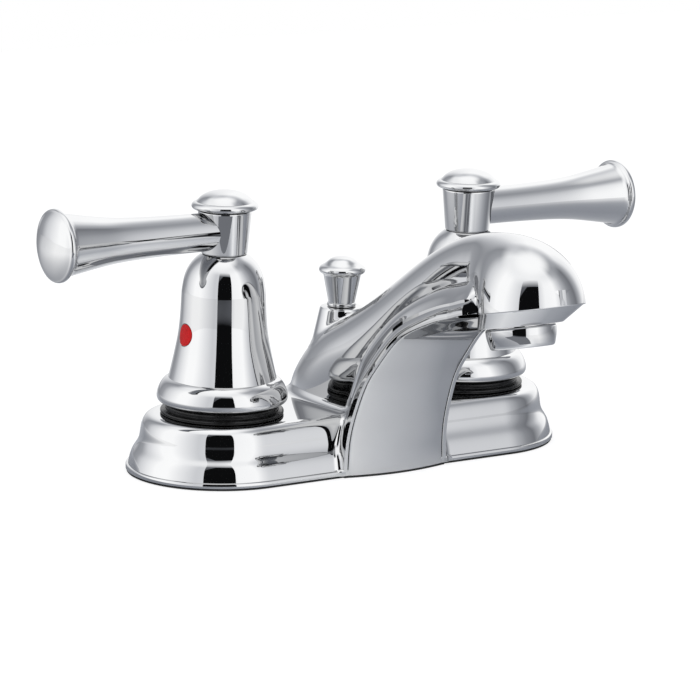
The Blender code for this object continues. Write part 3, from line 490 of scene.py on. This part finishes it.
# The boss that the lift rod comes up through
rod_y = 0.0034
boss_top, boss_radius, boss_taper, boss_bore = 0.0520, 0.0075, 0.21, 0.0029
boss_profile = [(boss_bore, boss_top - 0.0015), (boss_bore, boss_top), (boss_radius - 0.0004, boss_top)]
boss_profile += [(boss_radius - 0.00012, boss_top - 0.00012), (boss_radius, boss_top - 0.0004)]
boss_profile += [(boss_radius + boss_taper * d, boss_top - d) for d in np.linspace(0.0006, 0.0200, 40)]


def turned_grid(profile, steps, centre=(0, 0)):
    """Points of a turned piece: each (radius, height) of the profile carried round the upright axis."""
    turn = np.linspace(0, 2 * math.pi, steps, endpoint=False)
    profile = np.asarray(profile, float)
    x = centre[0] + profile[:, :1] * np.cos(turn)
    y = centre[1] + profile[:, :1] * np.sin(turn)
    return np.stack([x, y, np.repeat(profile[:, 1:], steps, axis=1)], -1)


boss_grid = turned_grid(boss_profile, 96, (0, rod_y))[:, ::-1]


def grid_normals(grid):
    """Outward normals of a grid's points."""
    along = np.gradient(grid, axis=0)
    beside = np.roll(grid, -1, axis=1) - np.roll(grid, 1, axis=1)
    normals = np.cross(beside, along)
    return normals / np.maximum(np.linalg.norm(normals, axis=2, keepdims=True), 1e-12)


def tree_of(grid):
    """A search tree over the faces of a grid whose rows are closed."""
    rows, columns = grid.shape[:2]
    index = np.arange(rows * columns).reshape(rows, columns)
    beside = np.roll(index, -1, axis=1)
    quads = np.stack([index[:-1], beside[:-1], beside[1:], index[1:]], -1).reshape(-1, 4)
    return BVHTree.FromPolygons(grid.reshape(-1, 3).tolist(), quads.tolist())


def run_into(grid, normals, tree, reach, free=1.0):
    """Where a form nears another, its points move out into a rounded inner corner of that reach.

    Gives the moved points, their normals and each point's distance from the other form. Free says
    how far the points of each column may move."""
    points, turned_normals = grid.reshape(-1, 3).copy(), normals.reshape(-1, 3).copy()
    free = np.broadcast_to(free, grid.shape[:2]).reshape(-1)
    distance = np.full(len(points), 1.0)
    for i, point in enumerate(points):
        place, face_normal, _, far = tree.find_nearest(Vector(point), 0.012)
        if place is None:
            continue
        face_normal, away = np.array(face_normal), point - np.array(place)
        d = far if np.dot(away, face_normal) > 0 else -far
        distance[i] = d
        if far > 0.00003:
            face_normal = away / d
        if d < reach:
            held = max(d, reach / 4)
            gap = 2 * math.sqrt(reach * held) - reach
            lift = held - gap
            other = (reach - gap) / reach / 2
            points[i] = point + turned_normals[i] * lift * free[i]
            mixed = (1 - other * free[i]) * turned_normals[i] + other * free[i] * face_normal
            turned_normals[i] = mixed / np.linalg.norm(mixed)
    shape = grid.shape
    return points.reshape(shape), turned_normals.reshape(shape), distance.reshape(shape[:2])


spout_normals, base_normals, boss_normals = (grid_normals(g) for g in (spout_grid, base_grid, boss_grid))
spout_tree, base_tree, boss_tree = (tree_of(g) for g in (spout_grid, base_grid, boss_grid))
corner_reach, boss_reach = 0.0032, 0.0014
strip_free = np.clip(flank_shares / 0.10, 0, 1)
strip_free = np.concatenate([strip_free, strip_free[:-1][::-1]])
spout_form, spout_shade, spout_far = run_into(spout_grid, spout_normals, base_tree, corner_reach, strip_free)
base_form, base_shade, base_far = run_into(base_grid, base_normals, spout_tree, corner_reach)
near_boss = slice(104, 194)  # the stations that pass the boss
form, shade, far = run_into(spout_form[near_boss], spout_shade[near_boss], boss_tree, boss_reach)
spout_form[near_boss], spout_shade[near_boss] = form, shade
boss_form, boss_shade, boss_far = run_into(boss_grid, boss_normals, spout_tree, boss_reach)
strip_round = 0.00018


def strip_sides(form, row):
    """The narrow front faces beside the arch cover, turned in along the cover's edges."""
    into = np.array((row[1] - row[0]).normalized())
    right, left = form[0], form[-1]
    inner = []
    for corner, side in ((right, 1), (left, -1)):
        front = np.array(row[0])
        front[0] = side * (row[2] - edge_strip)
        lip = front.copy()
        lip[0] += side * strip_round
        turned_in = front + into * strip_round
        deep = front + into * strip_depth
        outer = corner.copy()
        outer[0] -= side * strip_round
        low = [deep, turned_in, lip, outer]
        inner.append(low if side > 0 else low[::-1])
    return np.concatenate([inner[0], form, inner[1]])


whole = np.array([strip_sides(form, row) for form, row in zip(spout_form, spout_rows)])
same_place = 2e-7


def softened(mesh, crease=32):
    """Shades a mesh smoothly, apart from creases sharper than that many degrees."""
    mesh.shade_smooth()
    mesh.set_sharp_from_angle(angle=math.radians(crease))
    return mesh


def shaded_mesh(name, grid, shade, touched, around, keep=None):
    """A smooth mesh whose rounded inner corners take their normals from both forms."""
    mesh = softened(skin(name, grid, around=around, keep=keep))
    corners, corner_shades = grid[touched], shade[touched]
    tree = KDTree(len(corners))
    for i, corner in enumerate(corners):
        tree.insert(corner, i)
    tree.balance()
    normals = [corner.vector.copy() for corner in mesh.corner_normals]
    chosen = [tree.find(vertex.co) for vertex in mesh.vertices]
    for loop in mesh.loops:
        _, i, away = chosen[loop.vertex_index]
        if away < same_place:
            normals[loop.index] = Vector(corner_shades[i])
    mesh.normals_split_custom_set(normals)
    return mesh


def finish_of(name, deep, bright, rough, clouds, grain, relief, metallic=1.0, gleam=0.5):
    """A finish whose colour and gloss drift between two levels in soft clouds, over a fine grain.

    Clouds and grain are their scales, and relief is how strongly the grain shows."""
    made, tree = new_paint(name)
    place = add_node(tree, "TexCoord").outputs["Object"]
    cloud = add_node(tree, "TexNoise", {"Vector": place, "Scale": clouds, "Detail": 4.0}).outputs[0]
    tint = add_node(tree, "ValToRGB", {"Fac": cloud})
    for step, at, color in zip(tint.color_ramp.elements, (0.30, 0.70), (deep, bright)):
        step.position, step.color = at, (*color, 1)
    levels = {"Value": cloud, "From Min": 0.3, "From Max": 0.7, "To Min": rough[0], "To Max": rough[1]}
    gloss = add_node(tree, "MapRange", levels).outputs[0]
    fine = add_node(tree, "TexNoise", {"Vector": place, "Scale": grain, "Detail": 2.0}).outputs[0]
    bump = add_node(tree, "Bump", {"Height": fine, "Strength": relief, "Distance": 0.0001}).outputs[0]
    looks = {"Base Color": tint.outputs[0], "Roughness": gloss, "Normal": bump}
    shader = add_node(tree, "BsdfPrincipled", looks | {"Metallic": metallic, "Specular IOR Level": gleam})
    add_node(tree, "OutputMaterial", {"Surface": shader.outputs[0]})
    return made


# Bright plating: a mirror with a faint polishing haze and a trace of orange peel
chrome_deep, chrome_bright = (0.925, 0.93, 0.94), (0.955, 0.96, 0.965)
chrome = finish_of("polished_chrome", chrome_deep, chrome_bright, (0.010, 0.030), 60, 260, 0.03)


def piece_of(mesh, finish, body, stands_for):
    """Puts a mesh in the scene with its finish, on its body, in place of its solid."""
    obj = bpy.data.objects.new(mesh.name, mesh)
    bpy.context.scene.collection.objects.link(obj)
    mesh.materials.clear()
    mesh.materials.append(finish)
    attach(obj, body)
    if stands_for:
        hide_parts(stands_for)
    return obj


# Faces that lie deeper than this inside another form of the casting are left out
buried_depth = 0.0020
extra = (whole.shape[1] - spout_form.shape[1]) // 2
whole_shade = np.pad(spout_shade, ((0, 0), (extra, extra), (0, 0)), mode="edge")
touched = np.zeros(whole.shape[:2], bool)
touched[:, extra:-extra] = spout_far < corner_reach
touched[near_boss, extra:-extra] |= far < boss_reach
shown = np.ones(whole.shape[:2], bool)
shown[:, extra:-extra] = spout_far >= -buried_depth
base_touched, base_shown = base_far < corner_reach, base_far > -buried_depth
spout_skin = shaded_mesh("spout_casting", whole, whole_shade, touched, False, shown)
base_skin = shaded_mesh("casting_base", base_form, base_shade, base_touched, True, base_shown)
boss_skin = shaded_mesh("casting_boss", boss_form, boss_shade, boss_far < boss_reach, True)


# The head's bevelled underside, which leans back to the outlet, with the round hole in its middle
def tilted_ring(centre, radius, steps=144):
    """A circle in the tilted plane of the head's rim."""
    turn = np.linspace(0, 2 * math.pi, steps, endpoint=False)
    ring = np.outer(np.cos(turn), np.array(forward)) + np.outer(np.sin(turn), (1.0, 0.0, 0.0))
    return np.array(centre) + ring * radius


rim_round = 0.0002
rim_rings = [
    (head_centre + upward * 0.0010, head_radius - 0.0003),
    (head_centre + upward * 0.0004, head_radius - 0.00005),
    (head_centre, head_radius),
    (head_centre - upward * 0.0002, head_radius - 0.00005),
    (head_centre - upward * 0.00035, head_radius - rim_round),
]
bevel_rings = []
for s in np.linspace(0.06, 1, 18):
    radius = head_radius - rim_round + (underside_radius - head_radius + rim_round) * s
    bevel_rings.append((head_centre.lerp(outlet_centre, s), radius))
flat_rings = [
    (outlet_centre - upward * 0.0001, underside_radius - 0.00015),
    (outlet_centre - upward * 0.00012, underside_radius - 0.0004),
    (outlet_centre - upward * 0.00012, 0.0098),
    (outlet_centre + upward * 0.0060, 0.0096),
]
underside_grid = np.array([tilted_ring(*ring) for ring in rim_rings + bevel_rings + flat_rings])
underside_skin = softened(skin("casting_underside", underside_grid), 40)

piece_of(spout_skin, chrome, "faucet_body", "spout_body")
for mesh in (base_skin, boss_skin, underside_skin):
    piece_of(mesh, chrome, "faucet_body", None)

# Arch cover
# A pressed and plated cover let in between the casting's two edges, a little crowned across.
# A fine dark line runs down each side of it.
cover_rise, cover_thickness, cover_tongue, clearance = 0.0027, 0.0016, 0.0040, 0.0003
across_cover = np.concatenate([[-1.0, -0.998, -0.990], np.linspace(-0.98, 0.98, 41), [0.990, 0.998, 1.0]])
edge_drop = np.array([0.00045, 0.00018, 0.00004] + [0.0] * 41 + [0.00004, 0.00018, 0.00045])


def cover_ring(t):
    """The cover's outline at a station: its crowned face with rounded edges, then its flat back."""
    row = stem_row(t)
    into = np.array((row[1] - row[0]).normalized())
    half = row[2] - edge_strip - clearance
    rise = cover_rise * (1 - 0.75 * t / 10)
    points = np.array(row[0]) + np.outer(half * across_cover, (1, 0, 0))
    points -= np.outer(rise * (1 - across_cover**2) - edge_drop, into)
    back = np.array([points[-1] + into * cover_thickness, points[0] + into * cover_thickness])
    return np.concatenate([points, back])


cover_grid = [cover_ring(t) for t in np.linspace(0, 10, 150)]
cover_grid += [cover_grid[-1] + np.array(forward) * cover_tongue * s for s in (0.25, 0.5, 0.75, 1.0)]
cover_skin = softened(skin("arch_cover", np.array(cover_grid), cap_start=True, cap_end=True))
piece_of(cover_skin, chrome, "faucet_body", "arch_panel")


# Base gasket
# A thin sheet of black rubber, cut to the outline of the base, that seals it to the deck. It stays
# as its solid is, and a finer outer edge is added, which bulges out under the arch cover.
def finish_solids(finish, *nodes):
    """Gives solids that stay as they are their finish."""
    for node in nodes:
        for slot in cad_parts[node].material_slots:
            slot.material = finish


rubber_deep, rubber_bright = (0.012, 0.012, 0.013), (0.035, 0.035, 0.037)
rubber = finish_of("gasket_rubber", rubber_deep, rubber_bright, (0.55, 0.68), 90, 900, 0.5, metallic=0.0)
finish_solids(rubber, "base_gasket")
gasket_outline = [(0.00115, 0.0005), (0.0004, 0.0005), (0.0003, 0.0004), (0.0003, 0.0)]
gasket_outline += [(0.00115, 0.0), (0.00115, 0.0005)]
gasket_grid = np.array([oval(inset, z) for inset, z in gasket_outline])
outer = gasket_grid[1:5]
under_cover = (outer[..., 1] < 0) & (np.abs(outer[..., 0]) < edge_width[0] - 0.0004)
bulge = cover_rise * np.clip(1 - (outer[..., 0] / (edge_width[0] - edge_strip)) ** 2, 0, 1)
outer[..., 1] = np.where(under_cover, -tower_front - bulge + 0.0002, outer[..., 1])
piece_of(softened(skin("gasket_edge", gasket_grid[:, ::-1])), rubber, "faucet_body", None)


# Handle bells
# Hollow die-cast bells, plated, that carry the levers and hide the valves. Each has a round
# bead along its lower edge and a round hole for the index button.
def turned_piece(name, profile, steps=128):
    """A smooth turned mesh whose profile runs from its top, down the outside."""
    return softened(skin(name, turned_grid(profile, steps)[:, ::-1]))


bell_shoulder = [
    (0.0079, 0.0756), (0.0094, 0.0744), (0.0110, 0.0727), (0.0128, 0.0697), (0.0138, 0.0665),
    (0.0144, 0.0626),
]
bell_wall = [
    (0.0144, 0.0626), (0.0146, 0.0580), (0.0149, 0.0528), (0.0155, 0.0474), (0.0163, 0.0430),
    (0.0174, 0.0378), (0.0186, 0.0326),
]
bell_bead = [
    (0.0186, 0.0326), (0.0197, 0.0320), (0.0209, 0.0308), (0.0221, 0.0285), (0.0226, 0.0263),
    (0.0223, 0.0250), (0.0214, 0.0242),
]
bell_inside = [
    (0.0209, 0.0241), (0.0200, 0.0242), (0.0197, 0.0275), (0.0158, 0.0350), (0.0128, 0.0500),
    (0.0052, 0.0640),
]
bell_profile = np.concatenate(
    [
        [(0.0052, 0.0756)],
        smooth_line(bell_shoulder, 40),
        smooth_line(bell_wall, 60)[1:],
        smooth_line(bell_bead, 36)[1:],
        bell_inside,
    ]
)
sides = (("hot", -1), ("cold", 1))
button_height, button_radius, button_face = 0.0486, 0.0037, 0.0154
seat_radius, seat_depth = button_radius + 0.0003, 0.0030


def on_handle(side):
    """The place of a handle's axis, with its lever pointing outward."""
    outward = Matrix.Rotation(0 if side > 0 else math.pi, 4, "Z")
    return Matrix.Translation((side * half_spacing, 0, 0)) @ outward


def side_piece(mesh, side, finish, body, stands_for):
    """Puts a mesh that was drawn round the origin on one side's axis, as a piece."""
    mesh.transform(on_handle(side))
    return piece_of(mesh, finish, body, stands_for)


def button_seat(side):
    """A bar as wide as the index button with its clearance, through the bell's outer wall."""
    mesh = bpy.data.meshes.new("button_bar")
    bm = bmesh.new()
    seat = Matrix.Translation((button_face, 0, button_height)) @ Matrix.Rotation(math.pi / 2, 4, "Y")
    radii = dict(radius1=seat_radius, radius2=seat_radius)
    bmesh.ops.create_cone(bm, cap_ends=True, segments=72, depth=seat_depth, matrix=seat, **radii)
    bm.to_mesh(mesh)
    bm.free()
    bar = bpy.data.objects.new("button_bar", mesh)
    bpy.context.scene.collection.objects.link(bar)
    bar.matrix_world = on_handle(side)
    return bar


def cut_by(obj, bar):
    """Cuts the bar out of the piece and takes the bar away."""
    step = obj.modifiers.new("cut", "BOOLEAN")
    step.operation, step.object, step.solver = "DIFFERENCE", bar, "EXACT"
    bpy.context.view_layer.update()
    cut = bpy.data.meshes.new_from_object(obj.evaluated_get(bpy.context.evaluated_depsgraph_get()))
    obj.modifiers.clear()
    obj.data = softened(cut)
    bpy.data.objects.remove(bar, do_unlink=True)


for name, side in sides:
    mesh = skin("bell_" + name, turned_grid(bell_profile, 160)[:, ::-1])
    bell = side_piece(mesh, side, chrome, name + "_handle", "handle_bell_" + name)
    cut_by(bell, button_seat(side))

# Index buttons
# A small coloured button let in flush in each bell, red for hot and blue for cold. It follows
# the round of the bell, and it is kept out of the mirror rays, so that no speck shows in a lever.
index_colors = {
    "hot": ("hot_red", (0.50, 0.010, 0.012), (0.62, 0.016, 0.018)),
    "cold": ("cold_blue", (0.015, 0.08, 0.45), (0.02, 0.11, 0.58)),
}
button_turn = np.linspace(0, 2 * math.pi, 64, endpoint=False)
button_drop = 0.0009
wall_radii, wall_heights = np.array(bell_wall[::-1]).T
rings = []
for share in np.concatenate([[0.02], np.linspace(0.1, 0.94, 12), [0.98, 1.0, 1.0]]):
    y = button_radius * share * np.cos(button_turn)
    z = button_height + button_radius * share * np.sin(button_turn)
    dome = 0.00018 - 0.00012 * share**6
    x = np.sqrt(np.interp(z, wall_heights, wall_radii) ** 2 - y**2) + dome
    rings.append(np.stack([x, y, z], 1))
rings[-1] = rings[-1] - (button_drop, 0, 0)
for name, side in sides:
    slot_name, deep, bright = index_colors[name]
    mesh = softened(skin("index_button_face_" + name, np.array(rings), cap_start=True), 50)
    finish = finish_of(
        "index_" + slot_name, deep, bright, (0.40, 0.48), 500, 1500, 0.1, metallic=0.0, gleam=0.12
    )
    button = side_piece(mesh, side, finish, name + "_handle", "index_button_" + name)
    button.visible_glossy = False

# Handle necks
# A turned post on each bell, a little wider at its top, with a fine groove where it stands on the bell.
neck_top, neck_top_radius, neck_length, neck_taper = 0.0903, 0.0092, 0.0141, 0.0013
neck_shares = np.linspace(0.02, 1, 30)
neck_profile = [(0.0, 0.0906), (0.0089, 0.0906), (0.0091, 0.0905), (neck_top_radius, neck_top)]
neck_profile += [(neck_top_radius - neck_taper * s, neck_top - neck_length * s) for s in neck_shares]
neck_profile += [(0.0077, 0.0761), (0.0076, 0.0758), (0.0050, 0.0757), (0.0050, 0.0600), (0.0, 0.0600)]
for name, side in sides:
    mesh = turned_piece("neck_" + name, neck_profile)
    side_piece(mesh, side, chrome, name + "_handle", "handle_hub_" + name)

# Neck caps
# A domed cap with a round bead at its edge, screwed into the top of each neck.
cap_dome = [(0.0, 0.0976), (0.0030, 0.09735), (0.0060, 0.0966), (0.0083, 0.0953), (0.0098, 0.0937)]
cap_bead = [(0.0098, 0.0937), (0.0107, 0.0934), (0.0114, 0.0925), (0.0113, 0.0917), (0.0104, 0.0911)]
cap_bead += [(0.0092, 0.0909)]
cap_shank = [(0.0025, 0.0909), (0.0025, 0.08)]
cap_profile = np.concatenate([smooth_line(cap_dome, 30), smooth_line(cap_bead, 26)[1:], cap_shank])
for name, side in sides:
    mesh = turned_piece("cap_" + name, cap_profile)
    side_piece(mesh, side, chrome, name + "_handle", "neck_cap_" + name)

# Levers
# A turned lever that flares to a domed end behind a thin bead. Its root is cut to a saddle that
# fits the neck.
lever_height, lever_length, lever_root, root_gap = 0.0837, 0.0694, 0.0066, 0.00015
lever_dome = [(0.0, 0.0), (0.0035, 0.0002), (0.0070, 0.0009), (0.0100, 0.0020), (0.0117, 0.0030)]
lever_bead = [
    (0.0117, 0.0030), (0.0120, 0.0031), (0.0123, 0.0035), (0.0124, 0.0041), (0.0123, 0.0047),
    (0.0119, 0.0051), (0.0114, 0.0053), (0.0111, 0.0056), (0.0108, 0.0062),
]
lever_flare = [
    (0.0108, 0.0062), (0.0105, 0.0078), (0.0101, 0.0100), (0.0090, 0.0165), (0.0079, 0.0240),
    (0.0073, 0.0310), (0.0069, 0.0400), (0.00665, 0.0520), (lever_root, 0.0650),
]
lever_end = np.concatenate([smooth_line(lever_dome, 26), smooth_line(lever_bead, 30)[1:]])
lever_line = np.concatenate([lever_end, smooth_line(lever_flare, 60)[1:]])
turn = np.linspace(0, 2 * math.pi, 128, endpoint=False)
root_y, root_z = lever_root * np.sin(turn), lever_height + lever_root * np.cos(turn)
neck_radius = neck_top_radius + (root_z - neck_top) * neck_taper / neck_length
saddle = np.sqrt(neck_radius**2 - root_y**2) + root_gap
lever_grid = []
for radius, back in lever_line:
    x = np.maximum(lever_length - back, saddle)
    lever_grid.append(np.stack([x, radius * np.sin(turn), lever_height + radius * np.cos(turn)], 1))
for name, side in sides:
    mesh = softened(skin("lever_" + name + "_form", np.array(lever_grid)))
    side_piece(mesh, side, chrome, name + "_handle", "lever_" + name)

# Retaining rings
# A moulded black ring, screwed down on each valve, holds the base. It has two steps, each with
# a fine groove round its edge.
black_deep, black_bright = (0.006, 0.006, 0.006), (0.02, 0.02, 0.021)
moulding = finish_of("black_moulding", black_deep, black_bright, (0.18, 0.28), 300, 1400, 0.4, metallic=0.0)
ring_profile = [
    (0.0132, 0.0241), (0.0186, 0.0241), (0.0187, 0.0236), (0.0192, 0.0234), (0.0195, 0.0231),
    (0.0196, 0.0227), (0.0194, 0.0225), (0.0194, 0.0223), (0.0196, 0.0221), (0.0196, 0.0217),
    (0.0198, 0.0216), (0.0208, 0.0215), (0.0212, 0.0213), (0.0213, 0.0210), (0.0211, 0.0209),
    (0.0211, 0.0207), (0.0213, 0.0206), (0.0212, 0.0203), (0.0132, 0.0203), (0.0132, 0.0241),
]
for name, side in sides:
    mesh = turned_piece("ring_" + name, ring_profile)
    side_piece(mesh, side, moulding, "faucet_body", "retaining_ring_" + name)

# Valves
# A machined brass body on each side holds a white cartridge, in which the handle's stem turns.
# Its shank goes down through the deck and is threaded for the mounting nut and the supply hose.
brass = finish_of("machined_brass", (0.62, 0.45, 0.20), (0.78, 0.60, 0.31), (0.22, 0.38), 120, 900, 0.35)
steel = finish_of("drawn_steel", (0.56, 0.56, 0.58), (0.68, 0.68, 0.70), (0.14, 0.24), 150, 900, 0.15)
white_moulding = finish_of(
    "white_moulding", (0.72, 0.72, 0.70), (0.84, 0.84, 0.82), (0.35, 0.45), 200, 1200, 0.2, metallic=0.0
)
shank_radius, shank_top, shank_bottom = 0.0104, 0.0012, -0.0480
thread_pitch, thread_depth, thread_steps = 0.0018, 0.0009, 72
valve_outline = [
    (0.0088, 0.0250), (0.0126, 0.0250), (0.0129, 0.0247), (0.0129, 0.0172), (0.0142, 0.0172),
    (0.0145, 0.0169), (0.0145, 0.0125), (0.0122, 0.0125), (0.0122, 0.0024), (shank_radius, 0.0016),
]
valve_bore = [
    (0.0092, shank_bottom), (0.0078, shank_bottom), (0.0075, shank_bottom + 0.0003), (0.0075, 0.0080),
    (0.0088, 0.0090), (0.0088, 0.0250),
]
thread_rows = np.arange(shank_top, shank_bottom + 0.0003, -thread_pitch / 8)
valve_profile = np.concatenate([valve_outline, [(shank_radius, z) for z in thread_rows], valve_bore])
valve_grid = turned_grid(valve_profile, thread_steps)
coil = (thread_rows[:, None] / thread_pitch + np.linspace(0, 1, thread_steps, endpoint=False)) % 1.0
run_in = np.clip((shank_top - thread_rows) / 0.0015, 0, 1)[:, None]
groove = np.clip(np.abs(2 * coil - 1) * 1.25 - 0.12, 0, 1) * run_in
chamfer = 0.0093 + (thread_rows - shank_bottom)[:, None]
thread_radius = np.minimum(shank_radius - thread_depth * groove, chamfer)
threaded = slice(len(valve_outline), len(valve_outline) + len(thread_rows))
valve_grid[threaded, :, :2] *= (thread_radius / shank_radius)[:, :, None]
for name, side in sides:
    mesh = softened(skin("valve_" + name, valve_grid[:, ::-1]))
    side_piece(mesh, side, brass, "faucet_body", "valve_body_" + name)
    finish_solids(brass, "valve_stem_" + name)
    finish_solids(white_moulding, "cartridge_" + name)
    finish_solids(steel, "set_screw_" + name)

# Nuts and washers
# A brass nut holds each cartridge down. Under the deck, a black washer and a larger brass nut
# clamp the faucet. The nuts are cut from hexagon bar, with their corners chamfered.
nut_sizes = {
    "bonnet_nut_": dict(size=0.0230, low=0.0253, high=0.0308, bore=0.0073),
    "mounting_nut_": dict(size=0.0290, low=-0.0343, high=-0.0253, bore=0.0107),
}


def nut_grid(size, low, high, bore, steps=96):
    """Points of a nut that is size wide across its flats."""
    turn = np.linspace(0, 2 * math.pi, steps, endpoint=False)
    flats = size / 2 / np.cos(turn % (math.pi / 3) - math.pi / 6)
    corners = [(np.minimum(flats, 0.485 * size + 1.7 * drop), drop) for drop in np.linspace(0, 0.0016, 7)]
    edge = 0.0005
    rows = [(bore, high - edge), (bore + edge, high)]
    rows += [(radius, high - drop) for radius, drop in corners]
    rows += [(radius, low + drop) for radius, drop in corners[::-1]]
    rows += [(bore + edge, low), (bore, low + edge), (bore, high - edge)]
    x, y = np.cos(turn), np.sin(turn)
    grid = [np.stack([radius * x, radius * y, np.full(steps, z)], 1) for radius, z in rows]
    return np.array(grid)[:, ::-1]


washer_profile = [
    (0.0107, -0.0220), (0.0166, -0.0220), (0.0169, -0.0221), (0.0170, -0.0224), (0.0170, -0.0246),
    (0.0169, -0.0249), (0.0166, -0.0250), (0.0107, -0.0250), (0.0107, -0.0220),
]
for name, side in sides:
    for nut_name, measures in nut_sizes.items():
        mesh = softened(skin("hex_" + nut_name + name, nut_grid(**measures)), 25)
        side_piece(mesh, side, brass, "faucet_body", nut_name + name)
    mesh = turned_piece("washer_" + name, washer_profile)
    side_piece(mesh, side, moulding, "faucet_body", "mounting_washer_" + name)

# Waterway
# A brass bar joins the two valves, and a bent copper tube brings the water from it to a brass
# socket in the head. They stay as the solids are, inside the casting.
copper = finish_of("copper_tube", (0.66, 0.36, 0.24), (0.80, 0.48, 0.34), (0.20, 0.32), 90, 700, 0.2)
finish_solids(brass, "waterway_manifold", "outlet_socket")
finish_solids(copper, "spout_tube")

# Aerator
# A plated housing screwed into the head, with a rolled lip round a white insert. The insert's
# face is a fine grid of cells that break up the water, and a rubber washer seals it above.
aerator_frame = Matrix.Translation(outlet_centre) @ Matrix.Rotation(-head_tilt, 4, "X")
housing_top = [(0.0090, 0.0030), (0.0093, 0.0030), (0.0093, -0.0004), (0.0112, -0.0004), (0.0115, -0.0006)]
housing_top += [(0.0117, -0.0010)]
housing_wall = smooth_line([(0.0117, -0.0012), (0.0115, -0.0035), (0.0109, -0.0060)], 16)
housing_lip = [
    (0.0107, -0.0067), (0.0104, -0.0071), (0.0100, -0.0073), (0.0078, -0.0073), (0.0075, -0.0071),
    (0.0074, -0.0067), (0.0074, -0.0061), (0.0082, -0.0060), (0.0082, 0.0038),
]
mesh = turned_piece("aerator_shell", np.concatenate([housing_top, housing_wall, housing_lip]))
mesh.transform(aerator_frame)
piece_of(mesh, chrome, "faucet_body", "aerator_housing")

insert_radius, insert_low, insert_high, insert_steps = 0.0079, -0.0058, 0.0028, 240
cell_depth, cells_across, cells_round = 0.0010, 5, 24
cell_rows = np.linspace(0.33 * insert_radius, insert_radius - 0.0018, 61)
insert_rim = [
    (0.0001, insert_high), (insert_radius - 0.0012, insert_high), (insert_radius, insert_high - 0.0015),
    (insert_radius, insert_low + 0.0003), (insert_radius - 0.0003, insert_low),
    (insert_radius - 0.0014, insert_low),
]
insert_cells = [(radius, insert_low + 0.0006) for radius in cell_rows[::-1]]
insert_hub = [(0.30 * insert_radius, insert_low + 0.0001), (0.26 * insert_radius, insert_low)]
insert_hub += [(0.0001, insert_low)]
insert_grid = turned_grid(insert_rim + insert_cells + insert_hub, insert_steps)
across_cells = np.abs(np.sin(np.linspace(0, cells_across * math.pi, len(cell_rows))))[:, None]
round_cells = np.abs(np.sin(np.linspace(0, cells_round * math.pi, insert_steps, endpoint=False)))
cells = np.clip(2.2 * np.minimum(across_cells, round_cells) - 0.5, 0, 1)
insert_grid[len(insert_rim) : -len(insert_hub), :, 2] += cell_depth * cells
mesh = softened(skin("aerator_grid", insert_grid[:, ::-1], cap_start=True, cap_end=True), 40)
mesh.transform(aerator_frame)
piece_of(mesh, white_moulding, "faucet_body", "aerator_insert")
finish_solids(rubber, "aerator_washer")

# Lift rod and knob
# A bright steel rod that works the drain's stopper, with a turned and plated knob on its top.
rod_radius, rod_low, rod_high = 0.0024, -0.1200, 0.0602
rod_profile = [(0.0001, rod_high), (rod_radius - 0.0003, rod_high), (rod_radius, rod_high - 0.0004)]
rod_profile += [(rod_radius, z) for z in np.linspace(rod_high - 0.001, rod_low + 0.001, 24)]
rod_profile += [(rod_radius, rod_low + 0.0006), (rod_radius - 0.0005, rod_low), (0.0001, rod_low)]
rod_grid = turned_grid(rod_profile, 48, (0, rod_y))[:, ::-1]
mesh = softened(skin("rod", rod_grid, cap_start=True, cap_end=True))
piece_of(mesh, steel, "lift_rod", "lift_rod")

# The knob's outline, as its radius and how far it lies below the top
knob_top = 0.0696
knob_dome = [(0.0, 0.0), (0.0020, 0.0001), (0.0040, 0.0007), (0.0056, 0.0020)]
knob_flange = [(0.0056, 0.0020), (0.0066, 0.0027), (0.0076, 0.0033), (0.0082, 0.0044), (0.0078, 0.0054)]
knob_flange += [(0.0068, 0.0059)]
knob_neck = [(0.0066, 0.0062), (0.0060, 0.0093), (0.0052, 0.0133), (0.0047, 0.0159)]
knob_foot = [(0.0047, 0.0161), (0.0050, 0.0163), (0.0051, 0.0166), (0.0051, 0.0171), (0.0050, 0.0173)]
knob_foot += [(0.0027, 0.0173)]
knob_head = np.concatenate([smooth_line(knob_dome, 18), smooth_line(knob_flange, 28)[1:]])
knob_profile = np.concatenate([knob_head, smooth_line(knob_neck, 24), knob_foot])
knob_profile[:, 1] = knob_top - knob_profile[:, 1]
mesh = softened(skin("knob", turned_grid(knob_profile, 96, (0, rod_y))[:, ::-1]))
piece_of(mesh, chrome, "lift_rod", "lift_knob")
